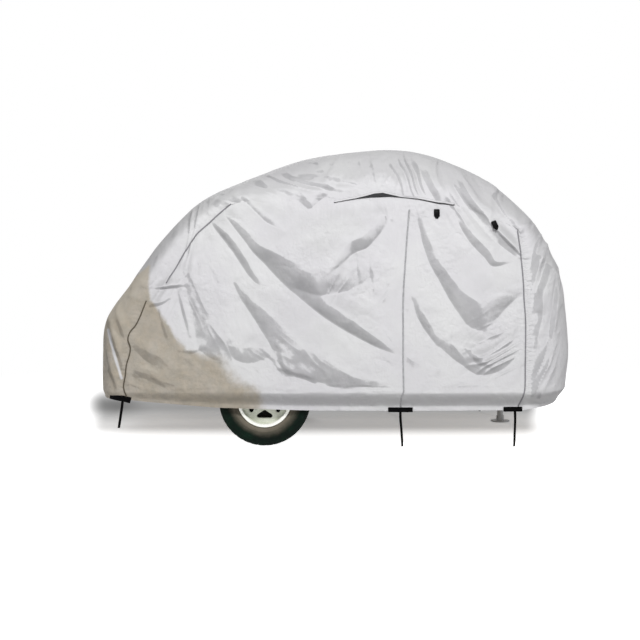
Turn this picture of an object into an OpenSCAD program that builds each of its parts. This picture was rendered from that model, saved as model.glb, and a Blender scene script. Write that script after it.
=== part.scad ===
// Teardrop camper trailer under a fitted storage cover.
// +X points forward, +Y to the left and +Z up; z = 0 is the ground.

/* [Cover] */
// Length of the cover from its rear knee to its nose
cover_length = 3340; // [3040:10:3640]
// Height of the cover's crown above the ground
cover_height = 2085; // [1900:5:2300]
// Width of the cover between its flat sides
cover_width = 1760; // [1680:10:1900]
// Thickness of the lined fabric
fabric_t = 6; // [4:0.5:10]
// Height of the fold where the sides tuck under
fold_z = 395; // [380:5:410]
// Height of the hem at the middle of the sides
hem_z = 256; // [240:2:280]
// How far the hem tucks in under the sides
hem_tuck = 60; // [40:2:70]
// Height of the deepest folds in the fabric of the sides
fold_h = 46; // [20:1:56]
// Place of the zip of the door panel, forward of the middle
zip_x = 465; // [380:5:560]
// Width of the zip tape
zip_w = 14; // [10:1:24]
// Thickness of the zip tape, vent flap, hem tabs and buckles on the fabric
trim_t = 5; // [3:0.5:8]
// Height of the vent flap below the roof seam
vent_h = 44; // [30:2:60]
// Height of the black hem tabs
tab_h = 36; // [24:2:48]
// Length of the rear and front hem tabs
tab_len = 130; // [90:5:170]
// Length of the hem tabs below the zips
zip_tab_len = 170; // [120:5:210]
// Width of the plastic buckles
buckle_w = 44; // [30:1:60]
// Height of the plastic buckles
buckle_h = 56; // [40:1:70]
// Diameter of the hem straps
strap_d = 12; // [8:1:16]
// Width of the arch in the front hem that the drawbar passes
arch_w = 360; // [320:10:420]
// Clear height of that arch in the cover
arch_z = 500; // [480:5:540]

/* [Body] */
// Thickness of the walls, the doors and the roof
wall_t = 30; // [20:1:40]
// Height of the underside of the floor
floor_z = 430; // [425:1:440]
// Thickness of the floor
floor_t = 24; // [18:1:30]
// Place of the middle of the side doors
door_x = 480; // [420:5:540]
// Width of the side doors
door_w = 660; // [560:10:720]
// Height of the lower edge of the side doors
door_z = 520; // [500:5:600]
// Height of the side doors
door_h = 900; // [800:10:960]
// Corner radius of the doors and their windows
door_r = 110; // [60:5:140]
// Step of the door's rebate behind the wall
door_lip = 22; // [15:1:30]
// Height of the door's window
window_h = 330; // [250:10:380]
// Frame of the door round its window
window_frame = 110; // [80:5:140]
// Thickness of the wheel boxes
box_t = 10; // [6:1:14]
// Room round the tyre inside its wheel box
box_gap = 42; // [30:2:60]

/* [Chassis] */
// Width of the frame rails
rail_w = 50; // [40:1:60]
// Height of the frame rails and cross members
rail_h = 60; // [50:1:70]
// Distance of the rails from the cover's sides
rail_inset = 410; // [400:2:440]
// Wall of the frame's box sections
section_wall = 4; // [3:0.5:6]
// Distance of the rails' rear ends from the cover's rear
rail_rear = 270; // [250:5:310]
// Distance of the rails' front ends from the cover's nose
rail_front = 380; // [370:5:420]
// Width of the cross members
cross_w = 44; // [36:1:56]
// Size of the square axle tube
axle_s = 60; // [50:1:70]
// How far the axle tube sits ahead of the wheels
arm_len = 95; // [80:1:120]
// Thickness of the torsion arms
arm_t = 24; // [18:1:28]
// Radius of the torsion arms' ends
arm_r = 32; // [28:1:36]

/* [Wheels] */
// Outside diameter of the tyres
tyre_d = 642; // [610:2:670]
// Width of the tyres
tyre_w = 190; // [165:5:205]
// Diameter of the rims at the bead
rim_d = 356; // [330:2:381]
// Place of the wheels, behind the middle
wheel_x = -494; // [-560:2:-430]
// Distance of the middles of the tyres from the cover's sides
wheel_inset = 182; // [175:1:190]
// Radius of the wheel spindles
spindle_r = 18; // [14:0.5:22]
// Radius of the hubs
hub_r = 62; // [54:1:70]
// Number of windows in each rim
rim_windows = 5; // [4:1:7]
// Clearance between turning or sliding pieces
run_gap = 0.5; // [0.3:0.1:1]

/* [Drawbar] */
// Size of the square drawbar tube
drawbar_s = 50; // [45:1:56]
// Room behind the stowed drawbar tube in its receiver
drawbar_room = 79; // [60:1:200]
// How far the drawbar tube stands out of its receiver when stowed
drawbar_out = 60; // [50:2:80]
// Radius of the coupler's ball socket
ball_r = 25.4; // [20:0.1:30]
// Length of the coupler
coupler_len = 220; // [190:5:230]
// Wall of the coupler round its socket
coupler_wall = 12; // [8:1:16]

/* [Jack] */
// Distance of the jack from the left rail
jack_inset = 120; // [90:5:170]
// Outer radius of the jack's outer tube
jack_r = 30; // [26:1:36]
// Wall of the jack's outer tube
jack_wall = 5; // [4:0.5:6]
// Height of the lower end of the outer tube
jack_low = 190; // [180:2:210]
// Radius of the jack's foot
foot_r = 75; // [60:1:90]
// Thickness of the jack's foot
foot_t = 10; // [8:1:14]
// Travel of the jack from the ground up to its towing place
jack_up = 120; // [100:5:120]

/* [Steadies] */
// Length of the rear steadies from pin to foot
steady_len = 290; // [250:5:300]
// Size of the steadies' square legs
steady_s = 32; // [26:1:38]
// Radius of the steadies' pins
steady_pin_r = 8; // [6:0.5:10]
// Distance of the steadies from the rails
steady_inset = 140; // [110:5:190]

/* [Hidden] */
$fn = 64;

silver = [0.80, 0.80, 0.81];
black = [0.06, 0.06, 0.06];
cream = [0.86, 0.84, 0.78];
steel = [0.35, 0.36, 0.38];
zinc = [0.62, 0.64, 0.66];
rubber = [0.07, 0.08, 0.07];
alloy = [0.82, 0.83, 0.80];

// The cover's two guide lines from the rear fold over the roof to the front fold, on a cover of the
// given length and crown: [crown x, crown height above the fold, seam x, seam height above the fold]
guide_length = 3340;
guide_crown = 1690;
guides = [
    [-1665, 0, -1455, 0],
    [-1668, 233, -1428, 250],
    [-1645, 473, -1375, 465],
    [-1478, 714, -1270, 685],
    [-1264, 1007, -1110, 915],
    [-1049, 1236, -935, 1125],
    [-885, 1357, -729, 1270],
    [-599, 1483, -450, 1302],
    [-254, 1609, -200, 1315],
    [64, 1666, 40, 1325],
    [419, 1690, 330, 1340],
    [651, 1656, 600, 1316],
    [866, 1576, 805, 1276],
    [1056, 1481, 985, 1215],
    [1210, 1365, 1125, 1158],
    [1404, 1168, 1241, 1095],
    [1537, 960, 1278, 915],
    [1614, 716, 1304, 655],
    [1672, 310, 1316, 270],
    [1660, 0, 1312, 0],
];
// Guide rows where the rear panel ends and where the front panel starts
rear_row = 6;
front_row = 15;
// Steps of the curve between guide rows, and angle steps across half the cover
row_steps = 2;
half_cols = 6;
// Power of the rounded section from the crown to the seams
section_power = 3;
// The hem line along a side: [x, rise above the lowest hem, share of the tuck]
hem_guide = [
    [-1455, 86, 0.2],
    [-830, 24, 1],
    [zip_x * guide_length / cover_length, 0, 1],
    [1290, 4, 1],
];
hem_last = len(hem_guide) - 1;
// How far the front hem tucks back and rises, and the rear hem tucks forward
nose_tuck = 43;
nose_rise = 50;
tail_tuck = 7;

half_w = cover_width / 2;
wall_y = half_w - fabric_t;
track = 2 * (half_w - wheel_inset);
rail_y = half_w - rail_inset;
rail_rear_x = rail_rear - cover_length / 2;
rail_front_x = cover_length / 2 - rail_front;
x_scale = cover_length / guide_length;
z_scale = (cover_height - fold_z) / guide_crown;

function curve(p0, p1, p2, p3, t) =
    0.5 * (2 * p1 + (p2 - p0) * t + (2 * p0 - 5 * p1 + 4 * p2 - p3) * t * t
        + (3 * p1 - p0 - 3 * p2 + p3) * t * t * t);
function guide(i) = guides[max(0, min(len(guides) - 1, i))];
function placed(g, half) =
    [g[0] * x_scale, fold_z + g[1] * z_scale, g[2] * x_scale, fold_z + g[3] * z_scale, half];
function hem_row(g, back, z, half) =
    [(g[0] + back) * x_scale, z, g[2] * x_scale, z, half];

last = len(guides) - 1;
rear_hem = hem_z + hem_guide[0][1];
rear_half = half_w - hem_tuck * hem_guide[0][2];
front_hem = hem_z + hem_guide[hem_last][1];
front_half = half_w - hem_tuck;
hem_front_x = hem_guide[hem_last][0];

// Every row of the cover: [crown x, crown z, seam x, seam z, half width], from hem to hem
panel_rows = [
    for (i = [0 : last - 1])
        for (k = [0 : row_steps - 1])
            placed(curve(guide(i - 1), guide(i), guide(i + 1), guide(i + 2), k / row_steps), half_w),
    placed(guide(last), half_w),
];
rear_hem_row = hem_row(guides[0], tail_tuck, rear_hem, rear_half);
front_hem_row = [
    (guides[last][0] - nose_tuck) * x_scale, front_hem + nose_rise, hem_front_x * x_scale, front_hem,
    front_half,
];
cover_rows = concat([rear_hem_row], panel_rows, [front_hem_row]);

// A row with its crown moved in along the profile's normal, and its half width cut by the same amount
function inset_row(i, depth) =
    let (
        r = cover_rows[i],
        before = cover_rows[max(0, i - 1)],
        after = cover_rows[min(len(cover_rows) - 1, i + 1)],
        dx = after[0] - before[0],
        dz = after[1] - before[1],
        run = norm([dx, dz])
    )
    [r[0] + depth * dz / run, r[1] - depth * dx / run, r[2], r[3], r[4] - depth];
function rounded(c) = pow(c, 2 / section_power);
function across(r, a) =
    let (u = rounded(cos(a)), w = sign(a) * rounded(sin(abs(a))))
    [r[2] + (r[0] - r[2]) * u, r[4] * w, r[3] + (r[1] - r[3]) * u];
col_step = 90 / half_cols;
function strip(first, end, depth) = [
    for (i = [first : end])
        let (r = inset_row(i, depth))
        [for (k = [-half_cols : half_cols]) across(r, k * col_step)],
];

// Closed shell between two point grids of the same shape, outside first
module shell(outer, inner) {
    m = len(outer);
    n = len(outer[0]);
    points = concat([for (r = outer) each r], [for (r = inner) each r]);
    skin = [
        for (i = [0 : m - 2], j = [0 : n - 2])
            let (a = i * n + j, b = a + 1, c = a + n, d = c + 1)
            each [[a, d, c], [a, b, d]],
    ];
    base = m * n;
    inside = [for (f = skin) [f[0] + base, f[2] + base, f[1] + base]];
    rim = concat(
        [for (j = [0 : n - 2]) [j, j + 1]],
        [for (i = [0 : m - 2]) [i * n + n - 1, (i + 1) * n + n - 1]],
        [for (j = [n - 1 : -1 : 1]) [(m - 1) * n + j, (m - 1) * n + j - 1]],
        [for (i = [m - 1 : -1 : 1]) [i * n, (i - 1) * n]]
    );
    // The cut of each edge face runs the same way on both panels that share it
    edge = [
        for (e = rim) each e[0] < e[1]
            ? [[e[0], e[1] + base, e[1]], [e[0], e[0] + base, e[1] + base]]
            : [[e[0], e[0] + base, e[1]], [e[0] + base, e[1] + base, e[1]]],
    ];
    polyhedron(points, concat(skin, inside, edge));
}

// The part of the cover, or of the body below it, between two rows
module panel(first, end, depth, thick) {
    shell(strip(first, end, depth), strip(first, end, depth + thick));
}

rear_end = rear_row * row_steps + 1;
front_start = front_row * row_steps + 1;
fold_rear = 1;
fold_front = len(cover_rows) - 2;

// Copies of a left-hand shape on one side or on both
module on_side(side) { mirror([0, side > 0 ? 0 : 1, 0]) children(); }
module both_sides() { for (side = [1, -1]) on_side(side) children(); }
// An outline drawn in x and z, made into a plate that ends at the given distance to the left
module plate(outer_y, thick) {
    translate([0, outer_y, 0]) rotate([90, 0, 0]) linear_extrude(thick) children();
}
seam_line = [for (r = panel_rows) [r[2], r[3]]];

module rounded_square(size, r) {
    for (x = [r, size[0] - r], y = [r, size[1] - r])
        translate([x, y]) circle(r);
    translate([r, 0]) square([size[0] - 2 * r, size[1]]);
    translate([0, r]) square([size[0], size[1] - 2 * r]);
}

// The front arch for the drawbar, as a block to cut with
module arch(top) {
    depth = cover_length / 2;
    round_r = arch_w / 4;
    translate([hem_front_x * x_scale - coupler_len, 0, 0]) rotate([90, 0, 90]) linear_extrude(depth)
        translate([-arch_w / 2, 0]) rounded_square([arch_w, top], round_r);
}

module cover_rear() { color(silver) panel(0, rear_end, 0, fabric_t); }
module cover_roof() { color(silver) panel(rear_end, front_start, 0, fabric_t); }
module cover_front() {
    color(silver) difference() {
        panel(front_start, len(cover_rows) - 1, 0, fabric_t);
        arch(arch_z);
    }
}

// The tucked band of a side between two places along the hem, below the fold
function hem_at(x) =
    let (
        xs = [for (g = hem_guide) g[0] * x_scale],
        k = x < xs[1] ? 0 : x < xs[2] ? 1 : 2,
        t = (x - xs[k]) / (xs[k + 1] - xs[k]),
        g = hem_guide[k] + (hem_guide[k + 1] - hem_guide[k]) * t
    )
    [half_w - hem_tuck * g[2], hem_z + g[1]];
module tuck_band(tops, lows) {
    function edge(d) = [
        [for (x = tops) [x, half_w - d, fold_z]],
        [for (x = lows) let (h = hem_at(x)) [x, h[0] - d, h[1]]],
    ];
    shell(edge(fabric_t), edge(0));
}
module side_panel(low_x, high_x) {
    intersection() {
        plate(half_w, fabric_t) polygon(seam_line);
        translate([low_x, 0, 0]) cube([high_x - low_x, cover_width, cover_height]);
    }
}

// The main folds of a side, each followed with its raised fabric on the left:
// [x, height above the lower fold, share of the fold height, width of the rise, width of the fall]
side_folds = [
    // Long fold down from the rear seam
    [[-796, 1234, 0.2, 30, 200], [-490, 880, 0.9, 100, 340], [-327, 710, 1, 190, 270],
        [-100, 530, 0.75, 90, 120], [360, 275, 0.1, 30, 100]],
    // Fold down to the wheel
    [[-694, 724, 0.15, 20, 120], [-466, 384, 0.85, 125, 250], [-250, 176, 0.95, 145, 285],
        [197, 27, 0.45, 60, 190], [401, 44, 0.1, 30, 95]],
    // Hollow behind the wheel
    [[-1034, 778, 0.2, 55, 120], [-973, 459, 0.75, 136, 190], [-823, 207, 0.2, 136, 136]],
    // Belly over the long fold, and its front edge
    [[-191, 663, 0.3, 136, 204], [0, 670, 0.62, 200, 260], [163, 738, 0.2, 150, 163]],
    [[-27, 819, 0.1, 34, 204], [173, 968, 0.55, 82, 320], [347, 1173, 0.1, 34, 136]],
    // Swags in the door panel
    [[544, 1220, 0.1, 27, 150], [768, 642, 0.75, 102, 381], [918, 438, 0.92, 184, 394],
        [1095, 500, 0.82, 143, 286], [1258, 663, 0.25, 61, 122]],
    [[680, 336, 0.1, 41, 136], [965, 119, 0.6, 122, 231], [1265, 302, 0.1, 41, 95]],
];
function ease(t) = let (c = max(0, min(1, t))) c * c * (3 - 2 * c);
function beside(p, a, b) =
    let (
        run = [b[0] - a[0], b[1] - a[1]],
        from = [p[0] - a[0], p[1] - a[1]],
        t = max(0, min(1, run * from / (run * run))),
        q = a + (b - a) * t,
        gap = norm([p[0] - q[0], p[1] - q[1]])
    )
    [gap, sign(run[0] * from[1] - run[1] * from[0]) * gap, q[2], q[3], q[4]];
function nearest(places) =
    let (least = min([for (s = places) s[0]]))
    [for (s = places) if (s[0] == least) s][0];
function rise_at(p, fold) =
    let (s = nearest([for (i = [0 : len(fold) - 2]) beside(p, fold[i], fold[i + 1])]))
    s[1] <= 0 ? 0
        : s[2] * (s[1] < s[3] ? sin(90 * s[1] / s[3]) : 1 - ease((s[1] - s[3]) / s[4]));
slack = 10;
function relief_at(x, z) =
    let (
        p = [x / x_scale, (z - fold_z) / z_scale],
        rises = [for (f = side_folds) rise_at(p, f)]
    )
    slack + fold_h * min(1, rises * [for (r = rises) 1]);

// Folded fabric that stands out of a side between two places, rooted inside the flat panel
relief_rows = 9;
relief_foot = 20;
relief_root = fabric_t / 4;
module fold_relief(low_x, high_x, cols, below_seam) {
    low_z = fold_z + relief_foot;
    outer = [
        for (j = [0 : relief_rows]) [
            for (i = [0 : cols])
                let (
                    x = low_x + (high_x - low_x) * i / cols,
                    z = low_z + (seam_at(x) - below_seam - low_z) * j / relief_rows,
                    rim = i == 0 || i == cols || j == 0 || j == relief_rows
                )
                [x, half_w + (rim ? -relief_root : relief_at(x, z)), z],
        ],
    ];
    inner = [for (row = outer) [for (p = row) [p[0], half_w - 2 * relief_root, p[2]]]];
    shell(outer, inner);
}

bend_x = hem_guide[1][0] * x_scale;
rear_x = guides[0][2] * x_scale;
front_x = guides[last][2] * x_scale;
relief_edge = 20;
side_relief_rear = 60;
side_relief_top = 60;
side_relief_cols = 18;
door_relief_front = 87;
door_relief_top = 130;
door_relief_cols = 8;
module cover_side() {
    color(silver) {
        side_panel(-cover_length, zip_x);
        fold_relief(rear_x + side_relief_rear, zip_x - relief_edge, side_relief_cols, side_relief_top);
        tuck_band([rear_x, bend_x, zip_x], [rear_x, bend_x, zip_x]);
    }
}
module cover_door() {
    color(silver) {
        side_panel(zip_x, cover_length);
        fold_relief(zip_x + relief_edge, front_x - door_relief_front, door_relief_cols, door_relief_top);
        tuck_band([zip_x, front_x], [zip_x, hem_front_x * x_scale]);
    }
}
module cover_side_left() { on_side(1) cover_side(); }
module cover_side_right() { on_side(-1) cover_side(); }
module cover_door_left() { on_side(1) cover_door(); }
module cover_door_right() { on_side(-1) cover_door(); }

// Height of the seam above the fold at a place along the side
function seam_at(x) = lookup(x, seam_line);
zip_gap = 90;
module door_zips() {
    color(steel) both_sides()
        translate([zip_x - zip_w / 2, half_w, fold_z])
            cube([zip_w, trim_t, seam_at(zip_x) - zip_gap - fold_z]);
}

// The vent flap hangs over the roof seam
vent_from = -10;
vent_to = 805;
vent_points = 6;
vent_drop = 3;
module vent_flaps() {
    xs = [for (i = [0 : vent_points]) (vent_from + (vent_to - vent_from) * i / vent_points) * x_scale];
    top = [for (x = xs) [x, seam_at(x) - vent_drop]];
    low = [for (i = [vent_points : -1 : 0]) [xs[i], seam_at(xs[i]) - vent_h]];
    color(silver) both_sides() plate(half_w + trim_t, trim_t) polygon(concat(top, low));
}

// Black tabs on the hem: one round each rear corner and two along each side
tab_below = 10;
tab_seat = 0.5;
mid_tab_x = 446;
front_tab_x = 1222;
rear_tab_cols = 2;
module hem_tab(x, long) {
    h = hem_at(x);
    lean = atan(hem_tuck / (fold_z - h[1]));
    translate([x - long / 2, h[0], h[1]]) rotate([-lean, 0, 0])
        translate([0, tab_seat, -tab_below]) cube([long, trim_t, tab_h]);
}
// A rear tab lies round the corner, between the rear panel's columns, and on along the side
module rear_tab() {
    side_x = rear_x + tab_len / 3;
    function level(z, out) =
        let (
            t = (z - rear_hem) / (fold_z - rear_hem),
            r = rear_hem_row + (panel_rows[0] - rear_hem_row) * t + [-out, 0, 0, 0, out],
            h = hem_at(side_x),
            side_t = (z - h[1]) / (fold_z - h[1]),
            side_y = h[0] + (half_w - h[0]) * side_t + out
        )
        concat(
            [for (k = [half_cols - rear_tab_cols : half_cols]) let (q = across(r, k * col_step)) [q[0], q[1], z]],
            [[side_x, side_y, z]]
        );
    function patch(out) = [for (z = [0, tab_h]) level(rear_hem - tab_below + z, out)];
    shell(patch(tab_seat + trim_t), patch(tab_seat));
}
module hem_tabs() {
    color(black) both_sides() {
        rear_tab();
        hem_tab(mid_tab_x * x_scale, zip_tab_len);
        hem_tab(front_tab_x * x_scale, tab_len);
    }
}

// Plastic buckles under the roof seam: [x, drop below the seam, tilt]
buckle_places = [
    [690, 84, 0],
    [1082, 62, 22],
];
buckle_bar = 10;
module buckles() {
    color(black) both_sides() for (b = buckle_places) {
        x = b[0] * x_scale;
        translate([x, half_w + trim_t, seam_at(x) - b[1]]) rotate([90, b[2], 0]) linear_extrude(trim_t)
            difference() {
                square([buckle_w, buckle_h], center = true);
                for (side = [1, -1])
                    translate([0, side * (buckle_h / 4 - buckle_bar / 4)])
                        square([buckle_w - 2 * buckle_bar, buckle_h / 2 - 1.5 * buckle_bar], center = true);
            }
    }
}

// Hem straps, hanging from the tabs with bare ends: sway as [forward, outward, share of the drop]
strap_sides = 8;
rear_sway = [[0, 0, 0], [-4, 4, 0.22], [-11, 8, 0.48], [-18, 12, 0.75], [-26, 14, 1]];
mid_sway = [[0, 0, 0], [1, 2, 0.19], [5, 5, 0.4], [9, 7, 0.61], [12, 8, 0.8], [14, 9, 1]];
front_sway = [[0, 0, 0], [1, 3, 0.2], [0, 6, 0.41], [-2, 8, 0.62], [-3, 9, 0.81], [-5, 10, 1]];
strap_below = 8;
front_strap_x = 1238;
strap_end = 9;
rear_strap_end = 146;
function strap_top(x) = let (h = hem_at(x)) [x, h[0] - 1, h[1] - strap_below];
function hung(top, sway, end) =
    [for (s = sway) [top[0] + s[0], top[1] + s[1], top[2] + (end - top[2]) * s[2]]];
rear_strap_top = [rear_x - 7, rear_half + 2, rear_hem - 6];
strap_rear_route = hung(rear_strap_top, rear_sway, rear_strap_end);
strap_mid_route = hung(strap_top(mid_tab_x * x_scale), mid_sway, strap_end);
strap_front_route = hung(strap_top(front_strap_x * x_scale), front_sway, strap_end);
// Tube along a route, with its rings square to the way of travel
module strap(route) {
    n = len(route);
    function along(i) = route[min(n - 1, i + 1)] - route[max(0, i - 1)];
    rings = [
        for (i = [0 : n - 1])
            let (t = along(i) / norm(along(i)), e = cross([0, 1, 0], t), ex = e / norm(e), ey = cross(t, ex))
            [for (k = [0 : strap_sides - 1])
                let (a = 360 * k / strap_sides)
                route[i] + strap_d / 2 * (cos(a) * ex + sin(a) * ey)],
    ];
    wall = [
        for (i = [0 : n - 2], k = [0 : strap_sides - 1])
            let (a = i * strap_sides + k, b = i * strap_sides + (k + 1) % strap_sides)
            each [[a, b + strap_sides, b], [a, a + strap_sides, b + strap_sides]],
    ];
    first = [for (k = [0 : strap_sides - 1]) k];
    end = [for (k = [strap_sides - 1 : -1 : 0]) (n - 1) * strap_sides + k];
    color(black) polyhedron([for (r = rings) each r], concat(wall, [first, end]));
}
module strap_rear_left() { on_side(1) strap(strap_rear_route); }
module strap_rear_right() { on_side(-1) strap(strap_rear_route); }
module strap_mid_left() { on_side(1) strap(strap_mid_route); }
module strap_mid_right() { on_side(-1) strap(strap_mid_route); }
module strap_front_left() { on_side(1) strap(strap_front_route); }
module strap_front_right() { on_side(-1) strap(strap_front_route); }

// Body
module rear_hatch() { color(cream) panel(fold_rear, rear_end, fabric_t, wall_t); }
module roof_shell() { color(cream) panel(rear_end, front_start, fabric_t, wall_t); }
module front_shell() {
    color(cream) difference() {
        panel(front_start, fold_front, fabric_t, wall_t);
        arch(floor_z + floor_t / 2);
    }
}

wheel_z = tyre_d / 2;
box_r = tyre_d / 2 + box_gap;
inner_y = wall_y - wall_t;
tyre_in = track / 2 - tyre_w / 2;
box_in = tyre_in - box_gap / 2;

module door_outline(grow) {
    translate([door_x - door_w / 2 - grow, door_z - grow])
        rounded_square([door_w + 2 * grow, door_h + 2 * grow], door_r + grow);
}
module window_outline() {
    translate([door_x - door_w / 2 + window_frame, door_z + door_h - window_frame - window_h])
        rounded_square([door_w - 2 * window_frame, window_h], door_r * 0.7);
}
module side_wall() {
    color(cream) plate(wall_y, wall_t) difference() {
        polygon(seam_line);
        door_outline(run_gap);
        translate([wheel_x, wheel_z]) circle(box_r);
    }
}
module door() {
    color(cream) {
        plate(wall_y, wall_t) difference() {
            door_outline(0);
            window_outline();
        }
        plate(inner_y, wall_t / 2) difference() {
            door_outline(door_lip);
            window_outline();
        }
    }
}
module side_wall_left() { on_side(1) side_wall(); }
module side_wall_right() { on_side(-1) side_wall(); }
module door_left() { on_side(1) door(); }
module door_right() { on_side(-1) door(); }
pane_t = 4;
module door_windows() {
    color([0.2, 0.24, 0.26]) both_sides() plate(wall_y - wall_t / 2, pane_t) window_outline();
}

floor_gap = 14;
floor_set = 12;
floor_rear = inset_row(fold_rear, fabric_t + wall_t + floor_set);
floor_front = inset_row(fold_front, fabric_t + wall_t + floor_set);
function floor_edge(r, gap) =
    let (set = [0, 0, gap, 0, floor_set])
    [for (k = [-half_cols : half_cols]) let (p = across(r + set, k * col_step)) [p[0], p[1]]];
module box_plan(grow) {
    translate([wheel_x - box_r - grow, box_in - grow])
        square([2 * (box_r + grow), inner_y - box_in + grow]);
}
module floor_panel() {
    rear_line = floor_edge(floor_rear, floor_gap);
    front_line = floor_edge(floor_front, -floor_gap);
    steps = len(front_line) - 1;
    color([0.45, 0.40, 0.33]) translate([0, 0, floor_z]) linear_extrude(floor_t) difference() {
        polygon(concat(rear_line, [for (i = [steps : -1 : 0]) front_line[i]]));
        for (side = [0, 1]) mirror([0, side]) box_plan(box_t);
    }
}
module wheel_boxes() {
    top = tyre_d + box_gap;
    color(black) both_sides() translate([0, 0, floor_z]) difference() {
        linear_extrude(top + box_t - floor_z) box_plan(box_t);
        linear_extrude(2 * (top - floor_z), center = true) box_plan(0);
    }
}

// Chassis
rail_z = floor_z - rail_h;
receiver_s = drawbar_s + 2 * (section_wall + run_gap);
receiver_top = rail_z;
receiver_z = receiver_top - receiver_s / 2;
axle_x = wheel_x + arm_len;
axle_z = rail_z - axle_s / 2;
receiver_rear = axle_x + axle_s / 2;
receiver_front = rail_front_x;
cross_places = [rail_rear_x + cross_w, axle_x + axle_s + cross_w, (axle_x + rail_front_x) / 2,
    rail_front_x - cross_w / 2];

module box_tube(size, wall) {
    difference() {
        cube(size);
        translate([-1, wall, wall]) cube([size[0] + 2, size[1] - 2 * wall, size[2] - 2 * wall]);
    }
}
module frame_rails() {
    color(steel) both_sides()
        translate([rail_rear_x, rail_y - rail_w / 2, rail_z])
            box_tube([rail_front_x - rail_rear_x, rail_w, rail_h], section_wall);
}
module cross_members() {
    span = 2 * rail_y - rail_w;
    color(steel) for (x = cross_places)
        translate([x + cross_w / 2, -span / 2, rail_z]) rotate([0, 0, 90])
            box_tube([span, cross_w, rail_h], section_wall);
}
module drawbar_receiver() {
    color(steel) translate([receiver_rear, -receiver_s / 2, receiver_top - receiver_s])
        box_tube([receiver_front - receiver_rear, receiver_s, receiver_s], section_wall);
}
arm_y = rail_y + rail_w / 2 + 8;
module axle_beam() {
    color(steel) translate([axle_x - axle_s / 2, -arm_y, axle_z - axle_s / 2]) cube([axle_s, 2 * arm_y, axle_s]);
}
disc_t = 26;
disc_out = tyre_w * 0.30;
hub_face = disc_out - disc_t;
hub_web = 6;
spindle_out = track / 2 + hub_face - 2 * hub_web;
module torsion_arms() {
    reach = [wheel_x - axle_x, wheel_z - axle_z];
    color(steel) both_sides() {
        plate(arm_y + arm_t, arm_t) translate([axle_x, axle_z]) hull() {
            circle(arm_r, $fn = 32);
            translate(reach) circle(arm_r, $fn = 32);
        }
        translate([wheel_x, arm_y + arm_t, wheel_z]) rotate([-90, 0, 0])
            cylinder(r = spindle_r, h = spindle_out - arm_y - arm_t);
    }
}

// Wheels; every piece is turned about the left spindle
module on_axle(side) {
    on_side(side) translate([wheel_x, track / 2, wheel_z]) rotate([-90, 0, 0]) children();
}
bead_r = rim_d / 2;
tread_r = tyre_d / 2;
shoulder = 38;
bead_w = tyre_w * 0.36;
lip_r = bead_r + 12;
lip_t = 8;
carcass_t = 11;
// Half of the tyre's section from its bead to the middle of its tread, a given depth below its surface
function tyre_half(depth) =
    let (
        low = lip_r + run_gap,
        high = tread_r - shoulder / 2,
        half = tyre_w / 2 - depth
    )
    concat(
        [[bead_r, bead_w - run_gap - depth], [low, bead_w - run_gap - depth]],
        [for (t = [0.2 : 0.2 : 1]) [low + (high - low) * t, half - (half - bead_w + depth) * pow(1 - t, 3)]],
        [for (a = [30 : 30 : 90]) [
            high + (shoulder / 2 - depth) * sin(a), half - shoulder / 2 * (1 - cos(a))]]
    );
module tyre_section(depth) {
    half = tyre_half(depth);
    polygon(concat(half, [for (i = [len(half) - 1 : -1 : 0]) [half[i][0], -half[i][1]]]));
}
module tyre(side) {
    color(rubber) on_axle(side) rotate_extrude() difference() {
        tyre_section(0);
        tyre_section(carcass_t);
    }
}
barrel_t = 7;
window_in = 70;
window_out = bead_r - 46;
window_angle = 20;
window_r = 14;
module rim(side) {
    barrel_r = bead_r - run_gap;
    color(alloy) on_axle(side) {
        rotate_extrude() {
            translate([barrel_r - barrel_t, -bead_w]) square([barrel_t, 2 * bead_w]);
            for (edge = [bead_w, -bead_w - lip_t])
                translate([barrel_r - barrel_t, edge]) square([lip_r - barrel_r + barrel_t, lip_t]);
        }
        difference() {
            translate([0, 0, disc_out - disc_t]) cylinder(r = barrel_r - barrel_t / 2, h = disc_t);
            translate([0, 0, disc_out - disc_t - 1]) {
                cylinder(r = hub_r * 0.55, h = disc_t + 2);
                for (i = [0 : rim_windows - 1])
                    rotate(90 + 360 * i / rim_windows) linear_extrude(disc_t + 2) hull() {
                        translate([window_in + window_r, 0]) circle(window_r, $fn = 32);
                        for (a = [-1, 1])
                            rotate(a * window_angle) translate([window_out - window_r, 0])
                                circle(window_r, $fn = 32);
                    }
            }
        }
    }
}
module hub(side) {
    drum_h = 46;
    cap_h = 18;
    color(zinc) on_axle(side) {
        difference() {
            translate([0, 0, hub_face - drum_h]) cylinder(r = hub_r, h = drum_h);
            translate([0, 0, hub_face - drum_h - 1]) cylinder(r = spindle_r + run_gap, h = drum_h + 1 - hub_web);
        }
        translate([0, 0, hub_face - 1]) cylinder(r = hub_r * 0.55 - run_gap, h = disc_t + cap_h);
    }
}
module tyre_left() { tyre(1); }
module tyre_right() { tyre(-1); }
module rim_left() { rim(1); }
module rim_right() { rim(-1); }
module hub_left() { hub(1); }
module hub_right() { hub(-1); }

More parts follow.
